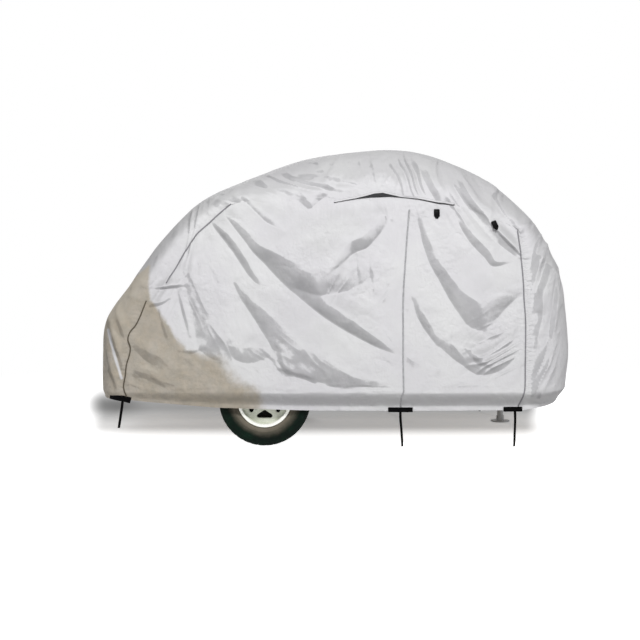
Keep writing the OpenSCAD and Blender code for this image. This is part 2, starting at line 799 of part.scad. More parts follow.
// Drawbar, stowed in its receiver
drawbar_front = receiver_front + drawbar_out;
drawbar_len = drawbar_front - receiver_rear - drawbar_room;
module drawbar_tube() {
    color(zinc) translate([drawbar_front - drawbar_len, -drawbar_s / 2, receiver_z - drawbar_s / 2])
        box_tube([drawbar_len, drawbar_s, drawbar_s], section_wall);
}
socket_r = ball_r + coupler_wall;
coupler_h = drawbar_s + 2 * coupler_wall;
socket_depth = 34;
module coupler() {
    back = receiver_front + drawbar_out / 3;
    nose = back + coupler_len;
    ball_x = nose - socket_r;
    low = receiver_z - drawbar_s / 2 - coupler_wall / 2;
    wide = drawbar_s + coupler_wall;
    color(zinc) difference() {
        union() {
            translate([back, -wide / 2, low]) cube([ball_x - back, wide, drawbar_s + coupler_wall]);
            translate([ball_x, 0, low]) cylinder(r = socket_r, h = drawbar_s + coupler_wall);
            translate([back + coupler_len * 0.25, -8, low + drawbar_s + coupler_wall])
                cube([coupler_len * 0.5, 16, 14]);
        }
        translate([back - 1, -drawbar_s / 2, receiver_z - drawbar_s / 2])
            cube([drawbar_front - back + 1, drawbar_s, drawbar_s]);
        translate([ball_x, 0, low - 1]) cylinder(r = ball_r, h = socket_depth + 1);
    }
}

// Jack, side-mounted on the front cross member
jack_x = rail_front_x + jack_r + 8;
jack_y = rail_y - jack_inset;
jack_in = jack_r - jack_wall;
leg_top = floor_z - jack_up - 10;
module jack_tube() {
    color(steel) difference() {
        union() {
            translate([jack_x, jack_y, jack_low]) cylinder(r = jack_r, h = floor_z - jack_low);
            translate([rail_front_x, jack_y - jack_r, rail_z]) cube([jack_x - rail_front_x, 2 * jack_r, rail_h]);
        }
        translate([jack_x, jack_y, jack_low - 1]) cylinder(r = jack_in, h = floor_z - jack_low + 2);
    }
}
module jack_leg() {
    color(zinc) translate([jack_x, jack_y, foot_t]) cylinder(r = jack_in - run_gap, h = leg_top - foot_t);
}
socket_h = 36;
module jack_foot() {
    color(zinc) difference() {
        union() {
            translate([jack_x, jack_y, 0]) cylinder(r = foot_r, h = foot_t);
            translate([jack_x, jack_y, 0]) cylinder(r = jack_in + 6, h = foot_t + socket_h);
        }
        translate([jack_x, jack_y, foot_t]) cylinder(r = jack_in - run_gap, h = socket_h + 1);
    }
}

// Rear steadies, folded up forward under the floor
steady_x = rail_rear_x + 2.2 * cross_w;
steady_y = rail_y - steady_inset;
steady_z = rail_z - steady_s / 2 - 8;
cheek_t = 6;
module steady_brackets() {
    gap = steady_s + 2 * run_gap;
    color(steel) both_sides() {
        translate([rail_rear_x + cross_w / 2, steady_y - gap / 2 - cheek_t, rail_z - cheek_t])
            cube([cross_w, gap + 2 * cheek_t, cheek_t]);
        for (y = [-gap / 2 - cheek_t, gap / 2])
            translate([0, steady_y + y + cheek_t, 0]) rotate([90, 0, 0]) linear_extrude(cheek_t) {
                translate([rail_rear_x + cross_w / 2, steady_z - steady_pin_r * 2])
                    square([steady_x - rail_rear_x - cross_w / 2, rail_z - steady_z + steady_pin_r * 2]);
                translate([steady_x, steady_z]) circle(steady_pin_r * 2);
            }
        translate([steady_x, steady_y + gap / 2 + cheek_t, steady_z]) rotate([90, 0, 0])
            cylinder(r = steady_pin_r, h = gap + 2 * cheek_t);
    }
}
pad_t = 8;
module steady(side) {
    color(zinc) on_side(side) difference() {
        union() {
            translate([steady_x, steady_y + steady_s / 2, steady_z]) rotate([90, 0, 0])
                cylinder(r = steady_s / 2, h = steady_s);
            translate([steady_x, steady_y - steady_s / 2, steady_z - steady_s / 2])
                cube([steady_len - pad_t, steady_s, steady_s]);
            translate([steady_x + steady_len - pad_t, steady_y - steady_s, steady_z - steady_s])
                cube([pad_t, 2 * steady_s, 1.5 * steady_s]);
        }
        translate([steady_x, steady_y + steady_s, steady_z]) rotate([90, 0, 0])
            cylinder(r = steady_pin_r + run_gap, h = 2 * steady_s);
    }
}
module steady_left() { steady(1); }
module steady_right() { steady(-1); }

frame_rails();
cross_members();
drawbar_receiver();
axle_beam();
torsion_arms();
jack_tube();
steady_brackets();
floor_panel();
wheel_boxes();
side_wall_left();
side_wall_right();
door_left();
door_right();
door_windows();
roof_shell();
rear_hatch();
front_shell();
cover_rear();
cover_roof();
cover_front();
cover_side_left();
cover_side_right();
cover_door_left();
cover_door_right();
door_zips();
vent_flaps();
hem_tabs();
buckles();
strap_rear_left();
strap_rear_right();
strap_mid_left();
strap_mid_right();
strap_front_left();
strap_front_right();
tyre_left();
tyre_right();
rim_left();
rim_right();
hub_left();
hub_right();
drawbar_tube();
coupler();
jack_leg();
jack_foot();
steady_left();
steady_right();
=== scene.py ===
import math

import bmesh
import bpy
import numpy as np
from mathutils import Matrix, Vector


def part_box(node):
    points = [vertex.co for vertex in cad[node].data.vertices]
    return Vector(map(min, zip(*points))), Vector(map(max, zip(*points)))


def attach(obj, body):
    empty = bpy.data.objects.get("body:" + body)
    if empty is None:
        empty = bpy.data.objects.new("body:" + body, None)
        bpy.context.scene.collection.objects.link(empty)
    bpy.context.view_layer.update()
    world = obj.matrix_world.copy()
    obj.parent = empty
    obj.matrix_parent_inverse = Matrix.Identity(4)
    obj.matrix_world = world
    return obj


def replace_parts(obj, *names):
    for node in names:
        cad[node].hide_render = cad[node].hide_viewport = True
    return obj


# Looks of a camper trailer under its fitted storage cover. Metres, +X forward, +Z up.
# The right-hand side of the cover, at -Y, faces the camera.
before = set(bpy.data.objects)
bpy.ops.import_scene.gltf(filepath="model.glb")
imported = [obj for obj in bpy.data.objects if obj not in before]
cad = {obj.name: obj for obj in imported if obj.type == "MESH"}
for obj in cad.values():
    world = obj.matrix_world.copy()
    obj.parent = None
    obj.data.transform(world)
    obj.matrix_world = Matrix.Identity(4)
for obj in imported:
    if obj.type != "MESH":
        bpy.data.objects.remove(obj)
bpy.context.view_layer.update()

CAMERA = Vector((-0.109, -8.38, 1.374))
SENSOR = 36
LENS = 62.04
PITCH_DOWN = 3.71


def make_camera():
    data = bpy.data.cameras.new("camera")
    data.sensor_width = SENSOR
    data.lens = LENS
    camera = bpy.data.objects.new("camera", data)
    camera.location = CAMERA
    camera.rotation_euler = (math.radians(90 - PITCH_DOWN), 0, 0)
    bpy.context.scene.collection.objects.link(camera)
    bpy.context.scene.camera = camera


make_camera()
bpy.context.scene.view_settings.view_transform = "Standard"


# Shader wiring
class Wire:
    """A shader socket that can be used in sums."""

    def __init__(self, wiring, socket):
        self.wiring = wiring
        self.socket = socket

    def beside(self, out):
        """Another output of the same node."""
        return Wire(self.wiring, self.socket.node.outputs[out])

    def sum(self, operation, first, second):
        return self.wiring.node("Math", {"operation": operation}, {0: first, 1: second})

    def __add__(self, other):
        return self.sum("ADD", self, other)

    def __radd__(self, other):
        return self.sum("ADD", other, self)

    def __sub__(self, other):
        return self.sum("SUBTRACT", self, other)

    def __rsub__(self, other):
        return self.sum("SUBTRACT", other, self)

    def __mul__(self, other):
        return self.sum("MULTIPLY", self, other)

    def __rmul__(self, other):
        return self.sum("MULTIPLY", other, self)


class Wiring:
    """The nodes of a material, or of the surround, while they are being wired."""

    def __init__(self, owner):
        owner.use_nodes = True
        self.tree = owner.node_tree
        self.tree.nodes.clear()

    def put(self, socket, value):
        if isinstance(value, Wire):
            self.tree.links.new(value.socket, socket)
        elif socket.type == "RGBA" and len(value) == 3:
            socket.default_value = (*value, 1)
        else:
            socket.default_value = value

    def node(self, kind, settings=None, values=None, out=0):
        made = self.tree.nodes.new("ShaderNode" + kind)
        for key, value in (settings or {}).items():
            setattr(made, key, value)
        for key, value in (values or {}).items():
            self.put(made.inputs[key], value)
        return Wire(self, made.outputs[out]) if made.outputs else None

    def blend(self, share, first, second):
        return self.node("Mix", {"data_type": "RGBA"}, {0: share, 6: first, 7: second}, out=2)

    def between(self, value, low, high, to_low=0.0, to_high=1.0):
        return self.node("MapRange", {"interpolation_type": "SMOOTHSTEP"}, {
            "Value": value, "From Min": low, "From Max": high, "To Min": to_low, "To Max": to_high})


class Finish(Wiring):
    """A material with one Principled shader, and the nodes that feed it."""

    def __init__(self, name, **fixed):
        self.material = bpy.data.materials.new(name)
        super().__init__(self.material)
        self.place = self.node("TexCoord", out="Object")
        self.skin = self.node("BsdfPrincipled")
        self.node("OutputMaterial", {}, {0: self.skin})
        self.feed(**fixed)

    def feed(self, **sockets):
        for key, value in sockets.items():
            self.put(self.skin.socket.node.inputs[key.replace("_", " ")], value)

    def noise(self, scale, detail=3, rough=0.5, at=None):
        return self.node("TexNoise", {}, {"Vector": at or self.place, "Scale": scale, "Detail": detail,
                                          "Roughness": rough})

    def stretched(self, scale):
        return self.node("Mapping", {}, {"Vector": self.place, "Scale": scale})

    def attribute(self, name):
        return self.node("Attribute", {"attribute_name": name}, out="Fac")

    def bump(self, height, distance, strength=1.0, under=None):
        values = {"Height": height, "Distance": distance, "Strength": strength}
        if under:
            values["Normal"] = under
        return self.node("Bump", {}, values)


def srgb(red, green, blue):
    def straight(v):
        v = v / 255
        return v / 12.92 if v <= 0.04045 else ((v + 0.055) / 1.055) ** 2.4

    return straight(red), straight(green), straight(blue)


def weave_waves(finish, pitch):
    """Crossing threads along the object's three directions."""
    turns = 2 * math.pi / pitch
    apart = finish.node("SeparateXYZ", {}, {0: finish.place})
    x, y, z = (finish.node("Math", {"operation": "SINE"}, {0: apart.beside(axis) * turns}) for axis in "XYZ")
    return x * z + x * y


def creases(finish, scale):
    """Crisp creases between softly bulging facets."""
    cloud = finish.noise(scale, 4, 0.5)
    return finish.node("Math", {"operation": "ABSOLUTE"}, {0: cloud - 0.5})


def fabric_finish():
    """Silver-coated fabric, with painted shade where it faces up, where it faces the ground and on fold
    facets that lean away from the light, and a painted brown reflection of the ground low at the rear.
    """
    f = Finish("silver_fabric", Specular_IOR_Level=0.25)
    fine = f.noise(26, 4, 0.6)
    ragged = f.noise(11, 6, 0.7) - 0.5
    facing = f.node("SeparateXYZ", {}, {0: f.node("NewGeometry", out="Normal")}, out="Z")
    # Painted shade on fold facets that lean away from above and from the right, patchy and with ragged edges
    patchy = f.between(f.noise(8, 5, 0.65), 0.3, 0.7, 0.75, 1.1)
    shade = f.between(f.attribute("lean") + ragged * 0.34, 0.06, 0.18, 0.0, 0.37) * patchy
    silver = f.blend(f.between(f.noise(2.2, 4), 0.35, 0.7), srgb(210, 209, 212), srgb(216, 216, 217))
    # Painted shade where the fabric faces up, which evens out the light from above
    silver = f.blend(f.between(facing, -0.05, 0.5, 0.0, 0.48), silver, srgb(140, 140, 140))
    silver = f.blend(shade, silver, srgb(112, 112, 115))
    # Painted shade where the fabric faces the ground, deepest on the tucked band at the hem
    silver = f.blend(f.between(facing, -0.5, -0.08, 0.26, 0.0), silver, srgb(112, 112, 114))
    # Painted brown reflection of the ground: painted light where it faces up, painted shade on leaning fold
    # facets
    brown = f.blend(f.between(fine, 0.3, 0.7), srgb(170, 160, 145), srgb(159, 152, 139))
    brown = f.blend(f.between(facing, 0.1, 0.6), brown, srgb(184, 176, 162))
    brown = f.blend(shade, brown, srgb(110, 106, 98))
    ground_reflection = f.between(f.attribute("ground_reflection") + ragged * 0.5, 0.22, 0.72)
    blotch = f.between(f.noise(5.5, 5, 0.6), 0.25, 0.75, 0.82, 1.0)
    where = f.between(f.noise(3.1, 3), 0.35, 0.65, 0.25, 1.0)
    creased = f.bump(creases(f, 6) * where, 0.028)
    creased = f.bump(creases(f, 17) * where, 0.009, 1.0, creased)
    creased = f.bump(f.noise(60, 3, 0.6), 0.0006, 0.6, creased)
    f.feed(Base_Color=f.blend(ground_reflection * blotch, silver, brown),
           Roughness=f.between(fine, 0.2, 0.8, 0.72, 0.82),
           Normal=f.bump(weave_waves(f, 0.0016), 0.00012, 0.35, creased))
    return f.material


def tape_finish(name, shade, pitch=0.0022, gloss=0.12):
    """Woven tape, darker between its threads."""
    f = Finish(name, Specular_IOR_Level=gloss)
    mottle = f.noise(60, 3)
    dark = tuple(0.7 * c for c in shade)
    threads = weave_waves(f, pitch)
    f.feed(Base_Color=f.blend(f.between(mottle + threads * 0.2, 0.2, 0.8), dark, shade),
           Roughness=f.between(mottle, 0.3, 0.7, 0.6, 0.85),
           Normal=f.bump(threads, 0.0004, 0.6))
    return f.material


def plain_finish(name, low, high, scale, rough, metal=0.0, **fixed):
    """A finish whose colour, gloss and surface vary softly."""
    f = Finish(name, Metallic=metal, **fixed)
    fine = f.noise(scale * 14, 4, 0.6)
    f.feed(Base_Color=f.blend(f.between(f.noise(scale, 4) * 0.6 + fine * 0.4, 0.3, 0.7), low, high),
           Roughness=f.between(fine, 0.25, 0.75, *rough),
           Normal=f.bump(fine, 0.0003, 0.5))
    return f.material


# Middle of the axle, and how far from the trailer's middle each wheel is
WHEEL_X = -0.494
WHEEL_Z = 0.321
TRACK = 0.698


def tyre_finish():
    """Black rubber, with dust of the road in a ring next to the rim."""
    f = Finish("tyre_rubber", Specular_IOR_Level=0.1)
    spot = f.node("VectorMath", {"operation": "SUBTRACT"}, {0: f.place, 1: (WHEEL_X, 0, WHEEL_Z)})
    spot = f.node("VectorMath", {"operation": "MULTIPLY"}, {0: spot, 1: (1, 0, 1)})
    radius = f.node("VectorMath", {"operation": "LENGTH"}, {0: spot}, out="Value")
    mottle = f.noise(9, 5, 0.6)
    dust = f.between(radius + mottle * 0.05, 0.216, 0.290, 0.95, 0.0)
    fine = f.noise(240, 3)
    black = f.blend(f.between(mottle, 0.4, 0.7), srgb(5, 14, 10), srgb(9, 29, 20))
    f.feed(Base_Color=f.blend(dust, black, srgb(118, 111, 99)),
           Roughness=f.between(fine, 0.3, 0.7, 0.66, 0.86),
           Normal=f.bump(fine, 0.0004, 0.5))
    return f.material


def wood_finish():
    f = Finish("sealed_plywood")
    grain = f.noise(6, 6, 0.6, f.stretched((1.5, 28, 28)))
    f.feed(Base_Color=f.blend(f.between(grain, 0.3, 0.7), srgb(150, 124, 90), srgb(186, 160, 122)),
           Roughness=f.between(grain, 0.3, 0.7, 0.45, 0.62),
           Normal=f.bump(grain, 0.0008, 0.5))
    return f.material


FABRIC = fabric_finish()
SEAM_TAPE = tape_finish("seam_tape", srgb(150, 149, 153))
# Seam tape low at the rear, its brown a painted reflection of the ground like the fabric around it
GROUND_LIT_TAPE = tape_finish("ground_lit_tape", srgb(106, 99, 87))
ZIP_TAPE = tape_finish("zip_tape", srgb(204, 204, 207))
ZIP_TEETH = tape_finish("zip_teeth", srgb(184, 184, 186))
WEBBING = tape_finish("black_webbing", srgb(6, 6, 7), 0.003, 0.04)
# The vent screen's dark grey is partly the mesh's own colour and partly painted shade in the slit under the
# lip
MESH_SCREEN = tape_finish("vent_screen", srgb(62, 62, 64), 0.004)
PLASTIC = plain_finish("black_plastic", srgb(4, 4, 5), srgb(10, 10, 11), 40, (0.4, 0.6),
                       Specular_IOR_Level=0.08)
PANEL = plain_finish("gel_coat", srgb(226, 220, 204), srgb(238, 234, 222), 3, (0.18, 0.3), Coat_Weight=0.4)
STEEL = plain_finish("frame_paint", srgb(34, 34, 36), srgb(62, 62, 64), 8, (0.4, 0.65), Coat_Weight=0.1)
# The brake drum is a real part; its near-black colour is painted shade seen through the rim's windows
SHADE_DARK_DRUM = plain_finish("shade_dark_drum", srgb(10, 10, 11), srgb(22, 21, 20), 20, (0.6, 0.8), Specular_IOR_Level=0.06)
ZINC = plain_finish("zinc_plate", srgb(206, 208, 210), srgb(222, 224, 226), 14, (0.45, 0.6), 0.1)
ALLOY = plain_finish("alloy", srgb(200, 204, 186), srgb(238, 241, 228), 9, (0.35, 0.5), 0.1)
LIP = plain_finish("bright_lip", srgb(244, 245, 236), srgb(254, 254, 248), 12, (0.2, 0.3), 0.2)
RUBBER = tyre_finish()
WOOD = wood_finish()
GLASS = plain_finish("tinted_glass", srgb(40, 46, 50), srgb(58, 66, 70), 2, (0.04, 0.09), Coat_Weight=0.6)


def paint(piece, material):
    piece.data.materials.clear()
    piece.data.materials.append(material)


for names, material in (
    ("frame_rails cross_members drawbar_receiver axle_beam torsion_arms jack_tube steady_brackets", STEEL),
    ("drawbar_tube coupler jack_leg jack_foot steady_left steady_right hub_left hub_right", ZINC),
    ("side_wall_left side_wall_right door_left door_right roof_shell rear_hatch front_shell", PANEL),
    ("wheel_boxes hem_tabs buckles", PLASTIC),
    ("floor_panel", WOOD),
    ("door_windows", GLASS),
    ("rim_left rim_right", ALLOY),
    ("tyre_left tyre_right", RUBBER),
    ("door_zips", ZIP_TAPE),
):
    for name in names.split():
        paint(cad[name], material)


# Mesh helpers
def alone(piece):
    bpy.ops.object.select_all(action="DESELECT")
    piece.select_set(True)
    bpy.context.view_layer.objects.active = piece


def edit_all(piece):
    alone(piece)
    bpy.ops.object.mode_set(mode="EDIT")
    bpy.ops.mesh.select_all(action="SELECT")


def outward_faces(piece):
    edit_all(piece)
    bpy.ops.mesh.normals_make_consistent(inside=False)
    bpy.ops.object.mode_set(mode="OBJECT")


def fit_on(piece, material, body):
    paint(piece, material)
    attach(piece, body)


def mesh_piece(name, points, faces, material, smooth=True):
    """A piece of the cover, which rides on the trailer."""
    data = bpy.data.meshes.new(name)
    data.from_pydata([tuple(p) for p in points], [], [tuple(int(i) for i in f) for f in faces])
    data.update()
    piece = bpy.data.objects.new(name, data)
    bpy.context.scene.collection.objects.link(piece)
    if smooth:
        data.polygons.foreach_set("use_smooth", [True] * len(data.polygons))
    fit_on(piece, material, "trailer")
    return piece


def sewn_piece(name, bands, material, smooth=True):
    """Several bands as one piece."""
    points, faces = [], []
    for band_points, band_faces in bands:
        base = len(points)
        points += [tuple(p) for p in band_points]
        faces += [tuple(base + i for i in face) for face in band_faces]
    piece = mesh_piece(name, points, faces, material, smooth)
    outward_faces(piece)
    return piece


def ease(t):
    t = np.clip(t, 0, 1)
    return t * t * (3 - 2 * t)


def cubic(a, b, c, d, t):
    """The smooth curve from b to c, with a and d as the points before and after them."""
    return 0.5 * (2 * b + (c - a) * t + (2 * a - 5 * b + 4 * c - d) * t ** 2
                  + (3 * b - a - 3 * c + d) * t ** 3)


def run_along(line):
    """Distance of each point of a line from its first one."""
    return np.concatenate([[0], np.cumsum(np.linalg.norm(np.diff(line, axis=0), axis=1))])


def even_steps(line, step=None, count=None, axes=3):
    """Points at even steps along a line, with all their columns."""
    run = run_along(line[:, :axes])
    count = count or max(2, int(round(run[-1] / step)))
    at = np.linspace(0, run[-1], count + 1)
    return np.stack([np.interp(at, run, column) for column in line.T], 1)


def spline_through(points, step, axes=3):
    """Points about a step apart on a smooth curve through the given ones."""
    p = np.asarray(points, float)
    ends = np.vstack([2 * p[0] - p[1], p, 2 * p[-1] - p[-2]])
    t = np.linspace(0, 1, 24, endpoint=False)[:, None]
    fine = [cubic(*ends[i:i + 4], t) for i in range(len(p) - 1)]
    return even_steps(np.vstack(fine + [p[-1:]]), step, axes=axes)


def soften_rows(rows, times):
    for _ in range(times):
        rows[1:-1] = 0.25 * rows[:-2] + 0.5 * rows[1:-1] + 0.25 * rows[2:]
    return rows


def soften(field, times):
    for _ in range(times):
        f = np.pad(field, 1, mode="edge")
        field = 0.5 * field + 0.125 * (f[:-2, 1:-1] + f[2:, 1:-1] + f[1:-1, :-2] + f[1:-1, 2:])
    return field


def unit(vectors):
    return vectors / np.linalg.norm(vectors, axis=-1, keepdims=True)


# Section of a band of webbing or tape with thicker edges: share of its width, share of its thickness
BAND = [(-0.5, -0.3), (-0.46, 0.5), (-0.2, 0.42), (0.2, 0.42), (0.46, 0.5), (0.5, -0.3), (0.2, -0.5),
        (-0.2, -0.5)]


def band_mesh(line, outward, width, thick, taper=0.0):
    """A flat band along a line, its face looking outward and its ends narrowed. Returns points and faces."""
    line = np.asarray(line, float)
    n, m = len(line), len(BAND)
    along = unit(np.gradient(line, axis=0))
    side = unit(np.cross(along, np.broadcast_to(np.asarray(outward, float), line.shape)))
    up = np.cross(side, along)
    wide = np.broadcast_to(np.asarray(width, float), (n,)).copy()
    wide[[0, -1]] *= 1 - taper
    rows = [line + side * (wide * s)[:, None] + up * (thick * t) for s, t in BAND]
    points = np.stack(rows, 1).reshape(-1, 3)
    faces = [(i * m + k, i * m + (k + 1) % m, (i + 1) * m + (k + 1) % m, (i + 1) * m + k)
             for i in range(n - 1) for k in range(m)]
    faces += [tuple(range(m))[::-1], tuple((n - 1) * m + k for k in range(m))]
    return points, faces


# Hem straps: flat webbing that hangs from the hem tabs, with bare cut ends
STRAP_WIDTH = 0.018
STRAP_THICK = 0.0022
STRAP_TWIST = 0.5
STRAPS = {
    "rear": [(-1.462, 0.870, 0.336), (-1.466, 0.874, 0.294), (-1.473, 0.878, 0.245), (-1.480, 0.882, 0.194),
             (-1.488, 0.884, 0.146)],
    "mid": [(0.446, 0.819, 0.248), (0.447, 0.821, 0.203), (0.451, 0.824, 0.153), (0.455, 0.826, 0.102),
            (0.458, 0.827, 0.057), (0.460, 0.828, 0.009)],
    "front": [(1.238, 0.819, 0.252), (1.239, 0.822, 0.203), (1.238, 0.825, 0.152), (1.236, 0.827, 0.101),
              (1.235, 0.828, 0.055), (1.233, 0.829, 0.009)],
}
SIDES = {"right": -1, "left": 1}


def hang_straps():
    for side, sign in SIDES.items():
        for place, route in STRAPS.items():
            line = spline_through(np.array(route) * (1, sign, 1), 0.012)
            turn = np.linspace(0, STRAP_TWIST, len(line))
            outward = np.stack([np.sin(turn), sign * np.cos(turn), 0 * turn], 1)
            band = band_mesh(line, outward, STRAP_WIDTH, STRAP_THICK, 0.06)
            strap = sewn_piece(f"webbing_{place}_{side}", [band], WEBBING)
            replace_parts(strap, f"strap_{place}_{side}")


hang_straps()

# The cover: two guide lines, the crown and the side seams, from the rear fold to the front fold:
# crown x, crown height above the fold, seam x, seam height above the fold
GUIDES = np.array([
    (-1.665, 0, -1.455, 0), (-1.668, 0.233, -1.428, 0.25), (-1.645, 0.473, -1.375, 0.465),
    (-1.478, 0.714, -1.27, 0.685), (-1.264, 1.007, -1.11, 0.915), (-1.049, 1.236, -0.935, 1.125),
    (-0.885, 1.357, -0.729, 1.27), (-0.599, 1.483, -0.45, 1.302), (-0.254, 1.609, -0.2, 1.315),
    (0.064, 1.666, 0.04, 1.325), (0.419, 1.69, 0.33, 1.34), (0.651, 1.656, 0.6, 1.316),
    (0.866, 1.576, 0.805, 1.276), (1.056, 1.481, 0.985, 1.215), (1.21, 1.365, 1.125, 1.158),
    (1.404, 1.168, 1.241, 1.095), (1.535, 0.96, 1.278, 0.915), (1.632, 0.716, 1.304, 0.655),
    (1.686, 0.31, 1.316, 0.27), (1.668, 0, 1.312, 0)])
# Guide rows where the rear panel ends, where the front panel starts and where it ends
REAR_ROW = 6
FRONT_ROW = 15
LAST_ROW = len(GUIDES) - 1
FOLD_Z = 0.395
HALF = 0.880
# Ends of the strip of panels: crown x, crown z, seam x, seam z, distance from the middle
REAR_HEM = (-1.658, 0.342, -1.455, 0.342, 0.868)
FRONT_HEM = (1.617, 0.310, 1.290, 0.260, 0.820)
# Hem along a side: x, height, distance from the middle
HEM = np.array([(-1.455, 0.342, 0.868), (-1.30, 0.324, 0.864), (-0.83, 0.280, 0.838), (-0.2, 0.258, 0.820),
                (0.465, 0.255, 0.820), (1.290, 0.260, 0.820)])
# The zip leans forward towards its top: height, x
ZIP = np.array([(0.256, 0.447), (0.369, 0.449), (0.396, 0.463), (0.624, 0.458), (1.004, 0.456),
                (1.124, 0.460), (1.424, 0.478), (1.624, 0.494), (1.744, 0.500)])
ZIP_HEAD_X = 0.494
# The rear seam steps forward over a pocket of slack fabric at this height
SEAM_STEP = 1.030
# Cells of the panels: up a seam, along a side to the zip, on to its front, in the hem, across half the roof
UP_ROWS = 208
SIDE_ROWS = 234
DOOR_ROWS = 126
HEM_ROWS = 18
HALF_COLUMNS = 110
LONG_ROWS = SIDE_ROWS + DOOR_ROWS
REAR_END = HEM_ROWS + UP_ROWS
ROOF_END = REAR_END + LONG_ROWS
FRONT_END = ROOF_END + UP_ROWS

